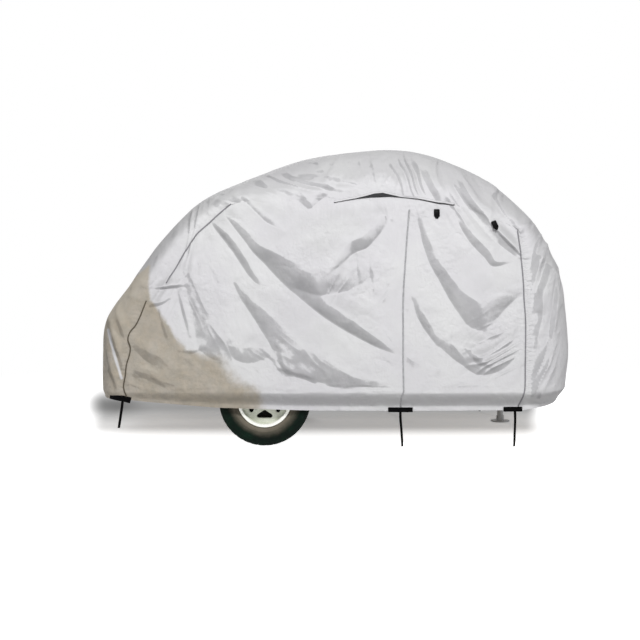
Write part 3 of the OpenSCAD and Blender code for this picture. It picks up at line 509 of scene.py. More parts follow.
# Folds as they are seen on the side elevation, from the camera's place. A fold stands out of the fabric on
# its left as it is followed. In mm: x, z, height, width of the rise, width of the fall.
FOLDS = {
    "long drag fold": [(-796, 1629, 8, 27, 200), (-707, 1534, 22, 48, 270), (-626, 1432, 30, 61, 310),
        (-565, 1350, 36, 68, 340), (-490, 1275, 42, 100, 410), (-408, 1187, 46, 150, 540),
        (-327, 1105, 46, 190, 610), (-245, 1037, 42, 180, 480), (-163, 969, 36, 95, 200),
        (-41, 881, 34, 95, 120), (95, 799, 32, 82, 150), (231, 725, 26, 61, 170), (360, 670, 4, 27, 100)],
    "belly above it": [(-218, 1085, 20, 120, 200), (-123, 1058, 38, 170, 230), (-14, 1065, 44, 200, 260),
        (81, 1085, 40, 200, 270), (163, 1133, 12, 140, 160)],
    "fold to the wheel": [(-687, 1119, 6, 20, 120), (-646, 1037, 18, 48, 180), (-551, 888, 32, 100, 230),
        (-456, 725, 42, 160, 260), (-374, 568, 46, 220, 260), (-272, 514, 46, 200, 270),
        (-177, 487, 44, 170, 290), (-75, 446, 40, 160, 290), (34, 419, 33, 130, 240), (170, 422, 20, 68, 180),
        (387, 439, 4, 27, 95)],
    "short fold under the seam": [(-864, 1568, 6, 27, 95), (-803, 1486, 18, 41, 140),
        (-721, 1384, 22, 48, 150), (-653, 1282, 22, 48, 150), (-585, 1180, 16, 41, 120),
        (-510, 1105, 3, 27, 68)],
    "rear hollow": [(-1034, 1173, 8, 54, 120), (-1007, 1024, 26, 88, 160), (-973, 854, 34, 140, 190),
        (-932, 684, 34, 180, 200), (-823, 602, 8, 140, 140)],
    "shoulder patch": [(-728, 1690, 6, 34, 140), (-667, 1683, 15, 41, 160), (-585, 1704, 4, 34, 120)],
    "shoulder fold": [(-619, 1690, 8, 34, 120), (-544, 1615, 18, 48, 160), (-469, 1547, 16, 48, 150),
        (-374, 1500, 3, 27, 82)],
    "patch below the vent": [(-245, 1683, 3, 34, 120), (-177, 1643, 11, 48, 140), (-109, 1697, 3, 34, 110)],
    "right edge of the belly": [(-27, 1214, 5, 34, 200), (47, 1275, 22, 54, 290), (129, 1343, 34, 82, 340),
        (217, 1384, 34, 88, 300), (306, 1486, 24, 68, 230), (347, 1568, 6, 34, 140)],
    "upright crease": [(129, 1357, 3, 20, 61), (136, 1269, 8, 20, 75), (149, 1167, 2, 20, 61)],
    "upright crease two": [(217, 1330, 2, 20, 68), (228, 1228, 8, 20, 82), (245, 1099, 2, 20, 68)],
    "bow by the zip": [(408, 1541, 2, 34, 110), (415, 1377, 9, 41, 120), (374, 1241, 9, 48, 120),
        (292, 1133, 2, 34, 82)],
    "nick": [(367, 1119, 2, 20, 68), (326, 1071, 9, 20, 82), (285, 1017, 2, 20, 61)],
    "soft dent": [(258, 874, 2, 54, 95), (326, 820, 11, 75, 110), (387, 738, 3, 48, 82)],
    "flank hollow": [(-748, 711, 4, 54, 95), (-680, 616, 15, 110, 140), (-571, 595, 17, 120, 150),
        (-463, 629, 14, 95, 120), (-401, 684, 4, 34, 68)],
    "knot": [(-367, 534, 5, 20, 68), (-279, 500, 12, 27, 95), (-191, 473, 11, 27, 95),
        (-109, 425, 3, 20, 54)],
    "knot upright": [(-401, 677, 4, 20, 82), (-388, 602, 12, 27, 95), (-361, 534, 4, 20, 68)],
    "knot slope": [(-503, 670, 2, 20, 61), (-449, 616, 7, 27, 68), (-388, 534, 3, 20, 54)],
    "strip crease": [(-1075, 1065, 5, 17, 61), (-1047, 942, 14, 20, 68), (-1013, 799, 4, 20, 54)],
    "strip edge": [(-1041, 663, 3, 20, 82), (-979, 660, 9, 24, 95), (-905, 684, 3, 20, 68)],
    "pocket": [(-1285, 1099, 6, 17, 48), (-1197, 1095, 17, 20, 61), (-1115, 1105, 15, 20, 61),
        (-1034, 1112, 3, 17, 48)],
    "pocket two": [(-1238, 980, 5, 17, 54), (-1190, 990, 15, 24, 68), (-1143, 1017, 4, 17, 48)],
    "pocket three": [(-1217, 1051, 3, 17, 41), (-1190, 1024, 10, 27, 48), (-1149, 1065, 3, 17, 41)],
    "door swag": [(544, 1615, 5, 27, 150), (578, 1445, 18, 48, 230), (632, 1282, 24, 61, 290),
        (700, 1160, 30, 75, 340), (768, 1037, 35, 100, 370), (843, 922, 40, 150, 370),
        (918, 833, 44, 240, 340), (1013, 820, 44, 240, 310), (1095, 895, 38, 150, 290),
        (1169, 983, 30, 100, 220), (1258, 1058, 12, 61, 120)],
    "swag under the buckle": [(809, 1581, 6, 27, 110), (863, 1479, 18, 48, 150), (918, 1398, 22, 54, 160),
        (999, 1316, 20, 54, 140), (1061, 1255, 15, 41, 100), (1163, 1269, 3, 20, 61)],
    "crease from the roof": [(748, 1874, 10, 54, 61), (816, 1745, 20, 61, 75), (877, 1643, 26, 68, 82),
        (952, 1554, 28, 68, 88), (1027, 1466, 24, 61, 88), (1115, 1391, 18, 54, 82), (1244, 1296, 8, 34, 61)],
    "buckle crease": [(1061, 1513, 8, 14, 41), (1115, 1452, 15, 17, 54), (1183, 1384, 15, 17, 54),
        (1258, 1316, 6, 14, 41)],
    "low fold": [(523, 1010, 6, 34, 110), (557, 908, 20, 48, 140), (605, 820, 22, 48, 140),
        (666, 738, 4, 27, 82)],
    "low swag": [(680, 731, 5, 41, 140), (775, 643, 18, 88, 190), (877, 568, 26, 120, 230),
        (965, 514, 28, 120, 230), (1081, 527, 24, 100, 200), (1183, 589, 16, 75, 160),
        (1265, 697, 4, 41, 95)],
    "low swag crease": [(891, 670, 4, 27, 75), (959, 595, 12, 34, 88), (1040, 561, 3, 27, 61)],
    "corner crease": [(1135, 684, 3, 20, 68), (1190, 725, 9, 27, 82), (1231, 813, 3, 20, 68)],
    "corner crease two": [(911, 731, 2, 20, 61), (979, 725, 7, 20, 68), (1054, 765, 2, 20, 54)],
    "nose fold": [(1401, 1432, 5, 24, 68), (1353, 1323, 18, 31, 82), (1292, 1207, 12, 27, 68)],
    "nose fold two": [(1438, 1350, 4, 27, 61), (1401, 1187, 18, 31, 75), (1346, 1003, 20, 34, 82),
        (1312, 901, 10, 27, 68)],
    "nose fold three": [(1462, 1282, 4, 20, 54), (1441, 1126, 9, 24, 61), (1421, 942, 3, 20, 54)],
    "nose line": [(1475, 1241, 5, 17, 48), (1472, 1037, 17, 20, 54), (1458, 847, 17, 20, 54),
        (1452, 738, 6, 17, 48)],
    "nose fold low": [(1448, 765, 8, 34, 61), (1394, 670, 22, 68, 82), (1339, 555, 28, 95, 82),
        (1305, 459, 16, 82, 68)],
    "nose nick": [(1373, 881, 3, 20, 48), (1346, 820, 9, 24, 61), (1319, 759, 5, 20, 54)],
    "nose hook": [(1251, 1411, 4, 20, 61), (1278, 1493, 10, 27, 68), (1333, 1547, 3, 20, 54)],
    "roof dent": [(-123, 1683, 6, 54, 120), (-27, 1765, 13, 68, 160), (68, 1874, 12, 61, 150),
        (245, 1976, 4, 41, 95)],
    "roof fan": [(462, 1989, 3, 27, 82), (496, 1853, 8, 34, 95), (530, 1677, 4, 27, 82)],
    "roof fan two": [(523, 1942, 4, 34, 88), (598, 1826, 13, 44, 110), (673, 1697, 7, 34, 82)],
    "roof fan three": [(707, 1894, 4, 20, 68), (734, 1799, 9, 27, 82), (761, 1683, 4, 20, 68)],
    "roof fan four": [(428, 1942, 3, 27, 68), (401, 1840, 7, 27, 82), (374, 1738, 3, 27, 68)],
    "roof crumple": [(-259, 1833, 4, 27, 82), (-163, 1840, 12, 34, 95), (-34, 1908, 3, 27, 68)],
    "roof crumple two": [(-558, 1785, 5, 34, 110), (-483, 1779, 14, 41, 120), (-401, 1799, 4, 34, 95)],
    "roof crumple three": [(272, 1935, 3, 20, 54), (333, 1976, 8, 24, 68), (394, 2017, 3, 20, 54)],
    "roof crumple four": [(911, 1881, 4, 27, 68), (959, 1813, 10, 34, 82), (1006, 1731, 3, 27, 61)],
    "roof crumple five": [(1067, 1609, 4, 24, 61), (1074, 1704, 10, 31, 75), (1115, 1772, 3, 24, 61)],
    "roof crumple six": [(1135, 1609, 3, 20, 61), (1183, 1554, 8, 27, 68), (1224, 1486, 3, 20, 54)],
    "roof line": [(-707, 1731, 2, 20, 68), (-775, 1724, 7, 20, 82), (-830, 1731, 2, 20, 68)],
    "roof tuck": [(476, 2023, 3, 20, 61), (517, 1989, 8, 20, 68), (571, 1962, 2, 20, 54)],
    "knee fold": [(-1557, 861, 5, 24, 54), (-1517, 718, 16, 31, 61), (-1483, 602, 16, 31, 61),
        (-1449, 459, 8, 27, 54)],
    "knee fold two": [(-1571, 738, 4, 20, 41), (-1557, 602, 11, 24, 48), (-1523, 405, 6, 20, 41)],
    "knee shade": [(-1544, 874, 4, 48, 68), (-1483, 793, 13, 61, 82), (-1421, 718, 6, 48, 68)],
    "tail crease": [(-973, 1595, 3, 20, 48), (-966, 1527, 9, 24, 54), (-966, 1445, 4, 20, 48)],
    "tail crease two": [(-1007, 1554, 2, 20, 48), (-1010, 1473, 8, 24, 54), (-1020, 1391, 3, 20, 48)],
    "tail crease three": [(-993, 1364, 3, 20, 54), (-1003, 1282, 9, 27, 61), (-1007, 1194, 3, 20, 54)],
    "tail crease four": [(-952, 1309, 3, 20, 54), (-939, 1241, 9, 27, 61), (-932, 1153, 3, 20, 54)],
    "tail slope": [(-1177, 1398, 3, 41, 82), (-1224, 1309, 9, 48, 95), (-1265, 1214, 3, 41, 68)],
    "low tail": [(-1394, 704, 4, 34, 82), (-1313, 623, 17, 75, 110), (-1231, 555, 16, 88, 110),
        (-1143, 493, 4, 54, 68)],
    "low tail two": [(-1401, 500, 3, 27, 68), (-1319, 493, 8, 34, 75), (-1231, 453, 2, 27, 61)],
    "low tail three": [(-1279, 500, 3, 41, 88), (-1163, 419, 9, 54, 95), (-1027, 371, 2, 41, 68)],
    "flank": [(-1211, 942, 4, 20, 54), (-1190, 854, 9, 24, 61), (-1156, 731, 2, 20, 54)],
}
# These are crisp at their crest, the others in their valley
CRESTS = {"bow by the zip", "crease from the roof", "roof fan four", "tail slope"}


class Ripple:
    """Smooth noise on a seeded lattice, the same on each run."""

    CELLS = 32

    def __init__(self, seed):
        self.grid = np.random.default_rng(seed).uniform(-1, 1, (self.CELLS,) * 3)

    def at(self, *place):
        p = np.stack(np.broadcast_arrays(*place), -1)
        base = np.floor(p).astype(int)
        t = p - base
        t = t * t * t * (t * (6 * t - 15) + 10)
        total = 0
        for corner in np.ndindex(2, 2, 2):
            weight = np.abs(1 - np.array(corner) - t).prod(-1)
            i, j, k = np.moveaxis((base + corner) % self.CELLS, -1, 0)
            total = total + weight * self.grid[i, j, k]
        return total


RIPPLES = [Ripple(seed) for seed in (3, 8, 21, 34)]


def elevation(p):
    """Where a point is seen on the side elevation from the camera, the left side mirrored."""
    y = -np.abs(p[..., 1])
    t = (-HALF - CAMERA.y) / (y - CAMERA.y)
    return CAMERA.x + (p[..., 0] - CAMERA.x) * t, CAMERA.z + (p[..., 2] - CAMERA.z) * t


def fold_heights(x, z):
    """Sum of the drawn folds at places on the side elevation."""
    total = np.zeros(x.shape)
    for name, points in FOLDS.items():
        line = spline_through(np.array(points) / 1000, 0.018, axes=2)
        line[:, 2:] = np.maximum(line[:, 2:], (0.001, 0.012, 0.03))
        along = unit(np.gradient(line[:, :2], axis=0))
        reach = (line[:, 3] + line[:, 4]).max()
        near = ((x > line[:, 0].min() - reach) & (x < line[:, 0].max() + reach)
                & (z > line[:, 1].min() - reach) & (z < line[:, 1].max() + reach))
        if not near.any():
            continue
        dx = x[near][:, None] - line[:, 0]
        dz = z[near][:, None] - line[:, 1]
        gap = np.hypot(dx, dz)
        least = gap.min(1, keepdims=True)
        weight = np.exp(-(gap - least) / (0.008 + 0.06 * least))
        weight /= weight.sum(1, keepdims=True)
        run = np.abs((weight * (dx * along[:, 0] + dz * along[:, 1])).sum(1))
        across = (weight * (dz * along[:, 0] - dx * along[:, 1])).sum(1)
        height, rise, fall = ((weight * line[:, k]).sum(1) for k in (2, 3, 4))
        past = 1 - ease((run - 0.02) / (rise + 0.02))
        t = np.clip(across / rise, 0, 1)
        bowed = 1 - np.cos(0.5 * np.pi * t) if name in CRESTS else np.sin(0.5 * np.pi * t)
        front = 0.55 * t + 0.45 * bowed
        back = 1 - ease((across - rise) / fall)
        dip = -0.12 * np.exp(-np.abs(across) / (0.35 * rise))
        total[near] += height * past * (np.where(across < rise, front, back) + dip)
    return total


def guide_at(q):
    """Crown, seam and half width at places along the guide rows."""
    i = np.clip(q.astype(int), 0, LAST_ROW - 1)
    g = cubic(*(GUIDES[np.clip(i + k, 0, LAST_ROW)] for k in (-1, 0, 1, 2)), (q - i)[:, None])
    g[:, (1, 3)] += FOLD_Z
    return np.hstack([g, np.full((len(g), 1), HALF)])


def rows_between(first, last, count):
    """Rows at even steps along the seam."""
    q = np.linspace(first, last, 400)
    run = run_along(guide_at(q)[:, 2:4])
    return guide_at(np.interp(np.linspace(0, run[-1], count + 1), run, q))


def tucked_in(t):
    """Share of the way out from the hem to the fold: a standing hem, then the tucked band."""
    return ease((t - 0.2) / 0.8) ** 0.85


def hem_rows(hem, fold):
    """Rows from the hem up to the fold."""
    t = np.linspace(0, 1, HEM_ROWS + 1)
    hem, fold = np.array(hem), np.array(fold)
    rows = hem + (fold - hem) * t[:, None]
    rows[:, 4] = hem[4] + (fold[4] - hem[4]) * tucked_in(t)
    return rows


def cover_strip():
    """Rows from the rear hem over the roof to the front hem, each across the trailer from right to left."""
    q = np.linspace(REAR_ROW, FRONT_ROW, 600)
    zip_row = float(np.interp(ZIP_HEAD_X, guide_at(q)[:, 2], q))
    rear = rows_between(0, REAR_ROW, UP_ROWS)
    over_side = rows_between(REAR_ROW, zip_row, SIDE_ROWS)
    over_door = rows_between(zip_row, FRONT_ROW, DOOR_ROWS)
    front = rows_between(FRONT_ROW, LAST_ROW, UP_ROWS)
    rows = np.vstack([hem_rows(REAR_HEM, rear[0])[:-1], rear[:-1], over_side[:-1], over_door[:-1], front[:-1],
                      hem_rows(FRONT_HEM, front[-1])[::-1]])
    angle = np.linspace(0, 0.5 * np.pi, 160)
    u, w = np.cos(angle) ** (2 / 3), np.sin(angle) ** (2 / 3)
    strip = np.zeros((len(rows), 2 * HALF_COLUMNS + 1, 3))
    for i, (crown_x, crown_z, seam_x, seam_z, half) in enumerate(rows):
        across = np.stack([seam_x + (crown_x - seam_x) * u, half * w, seam_z + (crown_z - seam_z) * u], 1)
        across = even_steps(across, count=HALF_COLUMNS)
        strip[i, HALF_COLUMNS:] = across
        strip[i, :HALF_COLUMNS + 1] = (across * (1, -1, 1))[::-1]
    return strip


def along_side(first, zip_at, last):
    """Values along a side that run evenly from its rear to the zip and on to its front."""
    to_zip, past_zip = np.linspace(first, zip_at, SIDE_ROWS + 1), np.linspace(zip_at, last, DOOR_ROWS + 1)
    return np.concatenate([to_zip, past_zip[1:]])


def zip_x_at(z):
    return np.interp(z, ZIP[:, 0], ZIP[:, 1])


def side_sheet(seam):
    """Grid of a flat side between its seams, in x and z, its rows going up from the fold."""
    seam = seam[:, (0, 2)]
    left, top = seam[HEM_ROWS:REAR_END + 1], seam[REAR_END:ROOF_END + 1]
    right = seam[ROOF_END:FRONT_END + 1][::-1]
    bottom_x = along_side(left[0, 0], zip_x_at(FOLD_Z), right[0, 0])
    bottom = np.stack([bottom_x, np.full(LONG_ROWS + 1, FOLD_Z)], 1)
    u = along_side(0, 0.66, 1)[None, :, None]
    rise = np.linspace(0, 1, UP_ROWS + 1)
    v = rise[:, None, None]
    grid = ((1 - v) * bottom[None] + v * top[None] + (1 - u) * left[:, None] + u * right[:, None]
            - (1 - u) * (1 - v) * bottom[0] - u * (1 - v) * bottom[-1]
            - (1 - u) * v * top[0] - u * v * top[-1])
    shift = zip_x_at(grid[:, SIDE_ROWS, 1]) - grid[:, SIDE_ROWS, 0]
    inner = ease(rise / 0.03) * ease((1 - rise) / 0.03)
    grid[:, :, 0] += (shift * inner)[:, None] * along_side(0, 1, 0)[None, :]
    return grid


def side_band(fold_x):
    """Grid of the tucked band of a side from its hem up to the fold: x, distance from the middle, z."""
    t = np.linspace(0, 1, HEM_ROWS + 1)[:, None]
    stretch = (fold_x - fold_x[0]) / (fold_x[-1] - fold_x[0])
    x_low = FRONT_HEM[2] * stretch + REAR_HEM[2] * (1 - stretch)
    z_low, y_low = (soften_rows(np.interp(x_low, HEM[:, 0], HEM[:, k]), 12) for k in (1, 2))
    x = x_low + (fold_x - x_low) * t
    y = y_low + (HALF - y_low) * tucked_in(t)
    z = z_low + (FOLD_Z - z_low) * t
    return np.stack([x, y, z], 2)


def grid_normals(grid):
    n = np.cross(np.gradient(grid, axis=0), np.gradient(grid, axis=1))
    return n / np.maximum(np.linalg.norm(n, axis=2), 1e-9)[..., None]


def distance_to(line, x, z):
    least = np.full(x.shape, 9.0)
    for px, pz in line:
        np.minimum(least, (x - px) ** 2 + (z - pz) ** 2, out=least)
    return np.sqrt(least)


# Fine wrinkles: middle x and z, reach in x and z, direction, spacing, height
WRINKLES = [
    # Nose
    (1.421, 1.364, 0.122, 0.238, -0.33, -0.94, 0.050, 0.0126),
    (1.421, 0.956, 0.109, 0.306, -0.2, -0.98, 0.055, 0.014),
    (1.387, 0.582, 0.122, 0.204, -0.35, -0.94, 0.055, 0.014),
    # Roof, from its crown to both ends
    (0.503, 1.894, 0.286, 0.15, 0.24, -0.97, 0.041, 0.0084),
    (0.979, 1.738, 0.245, 0.177, 0.6, -0.8, 0.041, 0.0084),
    (-0.313, 1.826, 0.422, 0.102, 0.96, -0.29, 0.037, 0.007),
    (0.061, 1.894, 0.306, 0.095, -0.51, -0.86, 0.041, 0.0056),
    # Tail
    (-0.993, 1.466, 0.102, 0.238, -0.24, -0.97, 0.037, 0.007),
    (-1.265, 1.126, 0.17, 0.17, -0.51, -0.86, 0.041, 0.007),
    (-1.503, 0.65, 0.082, 0.272, 0.29, -0.96, 0.041, 0.007),
    (-1.197, 0.548, 0.306, 0.15, 0.89, -0.45, 0.048, 0.0035),
    # Below the vent, along the fold and beside the zip
    (0.435, 1.609, 0.612, 0.068, 0.15, -0.99, 0.034, 0.0028),
    (-0.041, 0.419, 1.428, 0.041, 1, 0.03, 0.031, 0.0035),
    (1.115, 0.65, 0.204, 0.204, 0.89, 0.45, 0.041, 0.0056),
    (0.095, 1.126, 0.34, 0.17, -0.45, -0.89, 0.044, 0.0021),
    (-0.755, 1.024, 0.204, 0.286, 0.45, -0.89, 0.048, 0.0049),
    (-0.313, 0.582, 0.245, 0.15, 0.82, -0.57, 0.041, 0.00224),
]


def wrinkles(x, z):
    total = np.zeros(x.shape)
    for i, (mid_x, mid_z, reach_x, reach_z, run_x, run_z, spacing, height) in enumerate(WRINKLES):
        share = np.exp(-((x - mid_x) / reach_x) ** 2 - ((z - mid_z) / reach_z) ** 2)
        near = share > 0.03
        along = (x[near] * run_x + z[near] * run_z) / spacing
        across = (x[near] * run_z - z[near] * run_x) / spacing
        sway = 0.8 * RIPPLES[2].at(0.2 * along, 0.3 * across, i)
        wave = RIPPLES[i % 4].at(1.1 * (across + sway), 0.10 * along, 1.7 * i)
        total[near] += height * share[near] * (1 - 2.4 * np.abs(wave))
    return total


def crumple(p, shift=0.0):
    """Loose wrinkles that run along the drag of the fabric, and small crumples."""
    x, y, z = np.moveaxis(p, -1, 0)
    s = np.where(y < 0, 0.0, 7.3) + shift
    drag = 0.62 * x - 0.78 * z
    cross = 0.78 * x + 0.62 * z
    long_wave = RIPPLES[0].at(cross * 9, drag * 2.2, y * 3 + s)
    ridge = 1 - 2 * np.abs(RIPPLES[1].at(cross * 6 + 3, drag * 2.6, y * 4 + s))
    small = RIPPLES[2].at(x * 16, z * 16, y * 16 + s)
    where = 0.5 + 0.5 * RIPPLES[3].at(x * 1.7, z * 1.7, y * 1.7 + s)
    return 0.0035 * long_wave + 0.0060 * np.maximum(ridge, 0) ** 3 * where + 0.0022 * small * where


def puckers(run, away, wave=0.030, reach=0.030, depth=0.0016):
    """Gathers beside a sewn seam: run along it, and the distance from it."""
    wobble = RIPPLES[0].at(run * 9, 2.5, 0)
    return depth * np.exp(-(away / reach) ** 2) * np.sin(2 * np.pi * run / wave + 2.6 * wobble)


def gathered(x, z):
    """How much a seam gathers the fabric: little above the step of the rear seam."""
    return np.where((x < 0) & (z > SEAM_STEP), 0.2, 1.0)


# Where the fabric low at the rear is painted with a brown reflection of the ground, on the side elevation
GROUND_REFLECTION = np.array([
    (-1.7, 1.004), (-1.455, 1.114), (-1.285, 1.239), (-1.279, 1.012), (-1.197, 0.942), (-1.115, 0.809),
    (-1.04, 0.666), (-0.802, 0.636), (-0.745, 0.521), (-0.655, 0.439), (-0.58, 0.400), (-0.53, 0.371),
    (-0.50, 0.1), (-1.7, 0.1)])
# A crest of the knee kept free of the painted brown reflection, which shows as a painted highlight
KNEE_HIGHLIGHT = np.array([(-1.553, 0.820), (-1.538, 0.745), (-1.517, 0.665), (-1.492, 0.575), (-1.466, 0.490)])


def ground_reflection_mask(x, z):
    """1 inside the part painted with the brown ground reflection and 0 outside, fading over its edge."""
    inside = np.zeros(x.shape, bool)
    edge = []
    for (ax, az), (bx, bz) in zip(GROUND_REFLECTION, np.roll(GROUND_REFLECTION, -1, 0)):
        crosses = (az > z) != (bz > z)
        with np.errstate(divide="ignore", invalid="ignore"):
            inside ^= crosses & (x < (bx - ax) * (z - az) / (bz - az) + ax)
        edge += [(ax + (bx - ax) * t, az + (bz - az) * t) for t in np.linspace(0, 1, 14)]
    away = distance_to(edge, x, z)
    fades_over = np.interp(x, (-1.05, -0.75), (0.07, 0.26))
    return np.clip(0.5 + np.where(inside, away, -away) / fades_over, 0, 1)


# Share of the painted brown ground reflection at each point, kept off the painted highlight on the knee
def ground_reflection_at(grid):
    x, z = elevation(grid)
    rough = 0.022 * RIPPLES[1].at(x * 7, z * 7, 0.5)
    streak = distance_to(even_steps(KNEE_HIGHLIGHT, 0.008, axes=2), x, z)
    near_side = ease((np.abs(grid[..., 1]) - 0.55) / 0.15)
    return ground_reflection_mask(x + rough, z + rough) * (1 - 0.85 * near_side * np.exp(-(streak / 0.014) ** 2))


# A fold above the free height is pressed down, so that it stays below the sum of the first two values
FREE_HEIGHT = 0.052
PRESSED = 0.036
# The deepest that a fold may sink, and how far the cover stands off by itself
SINKS = -0.003
SLACK = 0.004


def settled(push):
    """Folds kept from sinking into the body, the highest pressed down."""
    high = FREE_HEIGHT + PRESSED * np.tanh((push - FREE_HEIGHT) / PRESSED)
    return np.clip(np.where(push > FREE_HEIGHT, high, push), SINKS, None)


def lean_of(base, grid, outward, up, right):
    """How far the folds lean away from above and from the right, against the cover without them."""
    still = grid_normals(base) * outward
    moved = grid_normals(grid) * outward
    total = np.zeros(still.shape[:2])
    for axis, share in (((0.0, 0.0, 1.0), up), ((1.0, 0.0, 0.0), right)):
        way = axis - still * (still @ axis)[..., None]
        way /= np.maximum(np.linalg.norm(way, axis=2), 0.35)[..., None]
        total -= share * (moved * way).sum(2)
    return total


def dress_strip(strip):
    """The rear, roof and front panels with their folds. Returns the cloth and its lean."""
    normals = grid_normals(strip)
    x, z = elevation(strip)
    lengths = np.linalg.norm(np.diff(strip, axis=1), axis=2)[:, :HALF_COLUMNS]
    to_seam = np.zeros(strip.shape[:2])
    to_seam[:, 1:HALF_COLUMNS + 1] = np.cumsum(lengths, 1)
    to_seam[:, HALF_COLUMNS:] = to_seam[:, HALF_COLUMNS::-1]
    rows = np.arange(len(strip))[:, None]
    sewn = soften_rows(np.where((rows < REAR_END) | (rows > ROOF_END), 1.0, 0.0), 30)
    hold = 1 - sewn * 0.6 * np.exp(-(to_seam / 0.05) ** 2)
    crown = ease((np.abs(normals[..., 1]) - 0.08) / 0.34)
    hem = ease((np.minimum(rows, len(strip) - 1 - rows)) / HEM_ROWS)
    push = fold_heights(x, z) * crown * hold * hem
    push += (crumple(strip) * (0.4 + 0.6 * crown) + SLACK) * hem * hold
    push = settled(soften(push, 1) + wrinkles(x, z) * crown * hem * hold)
    seam_run = run_along(strip[:, 0])[:, None] + 0 * to_seam
    push += sewn * gathered(strip[..., 0], strip[..., 2]) * puckers(seam_run, to_seam) * hem
    cloth = strip + normals * push[..., None]
    fade = (1 - sewn * (1 - ease(to_seam / 0.04))) * hem
    return cloth, lean_of(strip, cloth, 1, 0.9 - 0.4 * sewn, 0.3 + 0.45 * sewn) * fade


def dress_side(strip, strip_cloth, sign):
    """A side panel and its door panel with their folds. Returns the cloth and its lean."""
    edge = 0 if sign < 0 else -1
    flat = side_sheet(strip[:, edge])
    x, z = flat[..., 0], flat[..., 1]
    points = np.stack([x, np.full(x.shape, sign * HALF), z], 2)
    band = side_band(x[0]) * (1, sign, 1)
    base = np.concatenate([band[:-1], points], 0)
    seen = elevation(points)
    rim = strip[HEM_ROWS:FRONT_END + 1, edge][:, (0, 2)]
    away = distance_to(rim[::2], x, z)
    from_seam = distance_to(np.concatenate([rim[:UP_ROWS], rim[-UP_ROWS:]])[::2], x, z)
    from_zip = np.abs(x - zip_x_at(z))
    hold = 1 - 0.6 * np.exp(-(from_seam / 0.05) ** 2) - 0.45 * np.exp(-(from_zip / 0.05) ** 2)
    push = (fold_heights(*seen) + 0.010 * ease(away / 0.15) + crumple(points) + SLACK) * hold
    push = settled(soften(push, 1) + wrinkles(*seen) * hold)
    push += gathered(x, z) * puckers(z * 1.15, from_seam)
    push += puckers(z, from_zip, wave=0.05, reach=0.025, depth=0.0008)
    points[..., 1] += sign * push
    band[..., 1] += sign * (np.linspace(0, 1, HEM_ROWS + 1)[:, None] * push[0] + 0.5 * crumple(band, 3.0))
    whole = np.concatenate([band[:-1], points], 0)
    # The outer edges are the strip's own seam points
    seam = strip_cloth[:, edge]
    whole[:, 0] = seam[:REAR_END + 1]
    whole[-1] = seam[REAR_END:ROOF_END + 1]
    whole[:, -1] = seam[ROOF_END:][::-1]
    fade = np.zeros(whole.shape[:2])
    fade[HEM_ROWS:] = ease(from_seam / 0.04) * ease(from_zip / 0.03) * ease((z - FOLD_Z - 0.01) / 0.05)
    return whole, lean_of(base, whole, sign, 0.95, 0.3) * fade


def area_of(grid):
    a, b = np.diff(grid, axis=0)[:, :-1], np.diff(grid, axis=1)[:-1]
    return float(np.linalg.norm(np.cross(a, b), axis=2).sum())


# Fabric that the seams take up, as a share of what shows
SEAM_ALLOWANCE = 1.02


def sheet_piece(name, grid, lean, node, flip, stays=None):
    """A panel of the cover: its grid of points, and the cells that stay where not all of them do."""
    rows, columns = grid.shape[:2]
    index = np.arange(rows * columns).reshape(rows, columns)
    quads = np.stack([index[:-1, :-1], index[1:, :-1], index[1:, 1:], index[:-1, 1:]], -1)
    quads = quads.reshape(-1, 4) if stays is None else quads[stays]
    if flip:
        quads = quads[:, ::-1]
    piece = mesh_piece(name, grid.reshape(-1, 3), quads, FABRIC)
    # Shares for the painted brown ground reflection and for the painted shade on leaning fold facets
    for label, values in (("ground_reflection", ground_reflection_at(grid)), ("lean", lean)):
        field = piece.data.attributes.new(label, "FLOAT", "POINT")
        field.data.foreach_set("value", values.astype(np.float32).ravel())
    wide = float(max(np.linalg.norm(np.diff(grid, axis=1), axis=2).sum(1)))
    long = float(max(np.linalg.norm(np.diff(grid, axis=0), axis=2).sum(0)))
    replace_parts(piece, node)
    min(SEAM_ALLOWANCE * area_of(grid), wide * long)
    if stays is not None:
        edit_all(piece)
        bpy.ops.mesh.delete_loose()
        bpy.ops.object.mode_set(mode="OBJECT")


# Arch in the front panel for the drawbar: half its width, its top and the radius of its corners
ARCH_HALF = 0.180
ARCH_TOP = 0.500
ARCH_ROUND = 0.090


def arch_gap(y, z):
    """Distance outside the arch, less than nothing inside it."""
    side = np.abs(y) - (ARCH_HALF - ARCH_ROUND)
    rise = z - (ARCH_TOP - ARCH_ROUND)
    corner = np.hypot(np.maximum(side, 0), np.maximum(rise, 0))
    return corner + np.minimum(np.maximum(side, rise), 0) - ARCH_ROUND


def cut_arch(grid):
    """Draws the rows next to the arch onto its edge. Returns which cells of the panel stay."""
    y, z = grid[..., 1], grid[..., 2]
    gap = arch_gap(y, z)
    stays = 0.25 * (gap[:-1, :-1] + gap[1:, :-1] + gap[:-1, 1:] + gap[1:, 1:]) > 0
    cut, left = np.zeros(gap.shape, bool), np.zeros(gap.shape, bool)
    for i, j in np.ndindex(2, 2):
        corner = np.s_[i:i + stays.shape[0], j:j + stays.shape[1]]
        cut[corner] |= ~stays
        left[corner] |= stays
    edge = cut & left
    step = 1e-4
    slope_y = (arch_gap(y + step, z) - arch_gap(y - step, z)) / (2 * step)
    slope_z = (arch_gap(y, z + step) - arch_gap(y, z - step)) / (2 * step)
    y[edge] -= (gap * slope_y)[edge]
    z[edge] -= (gap * slope_z)[edge]
    return stays


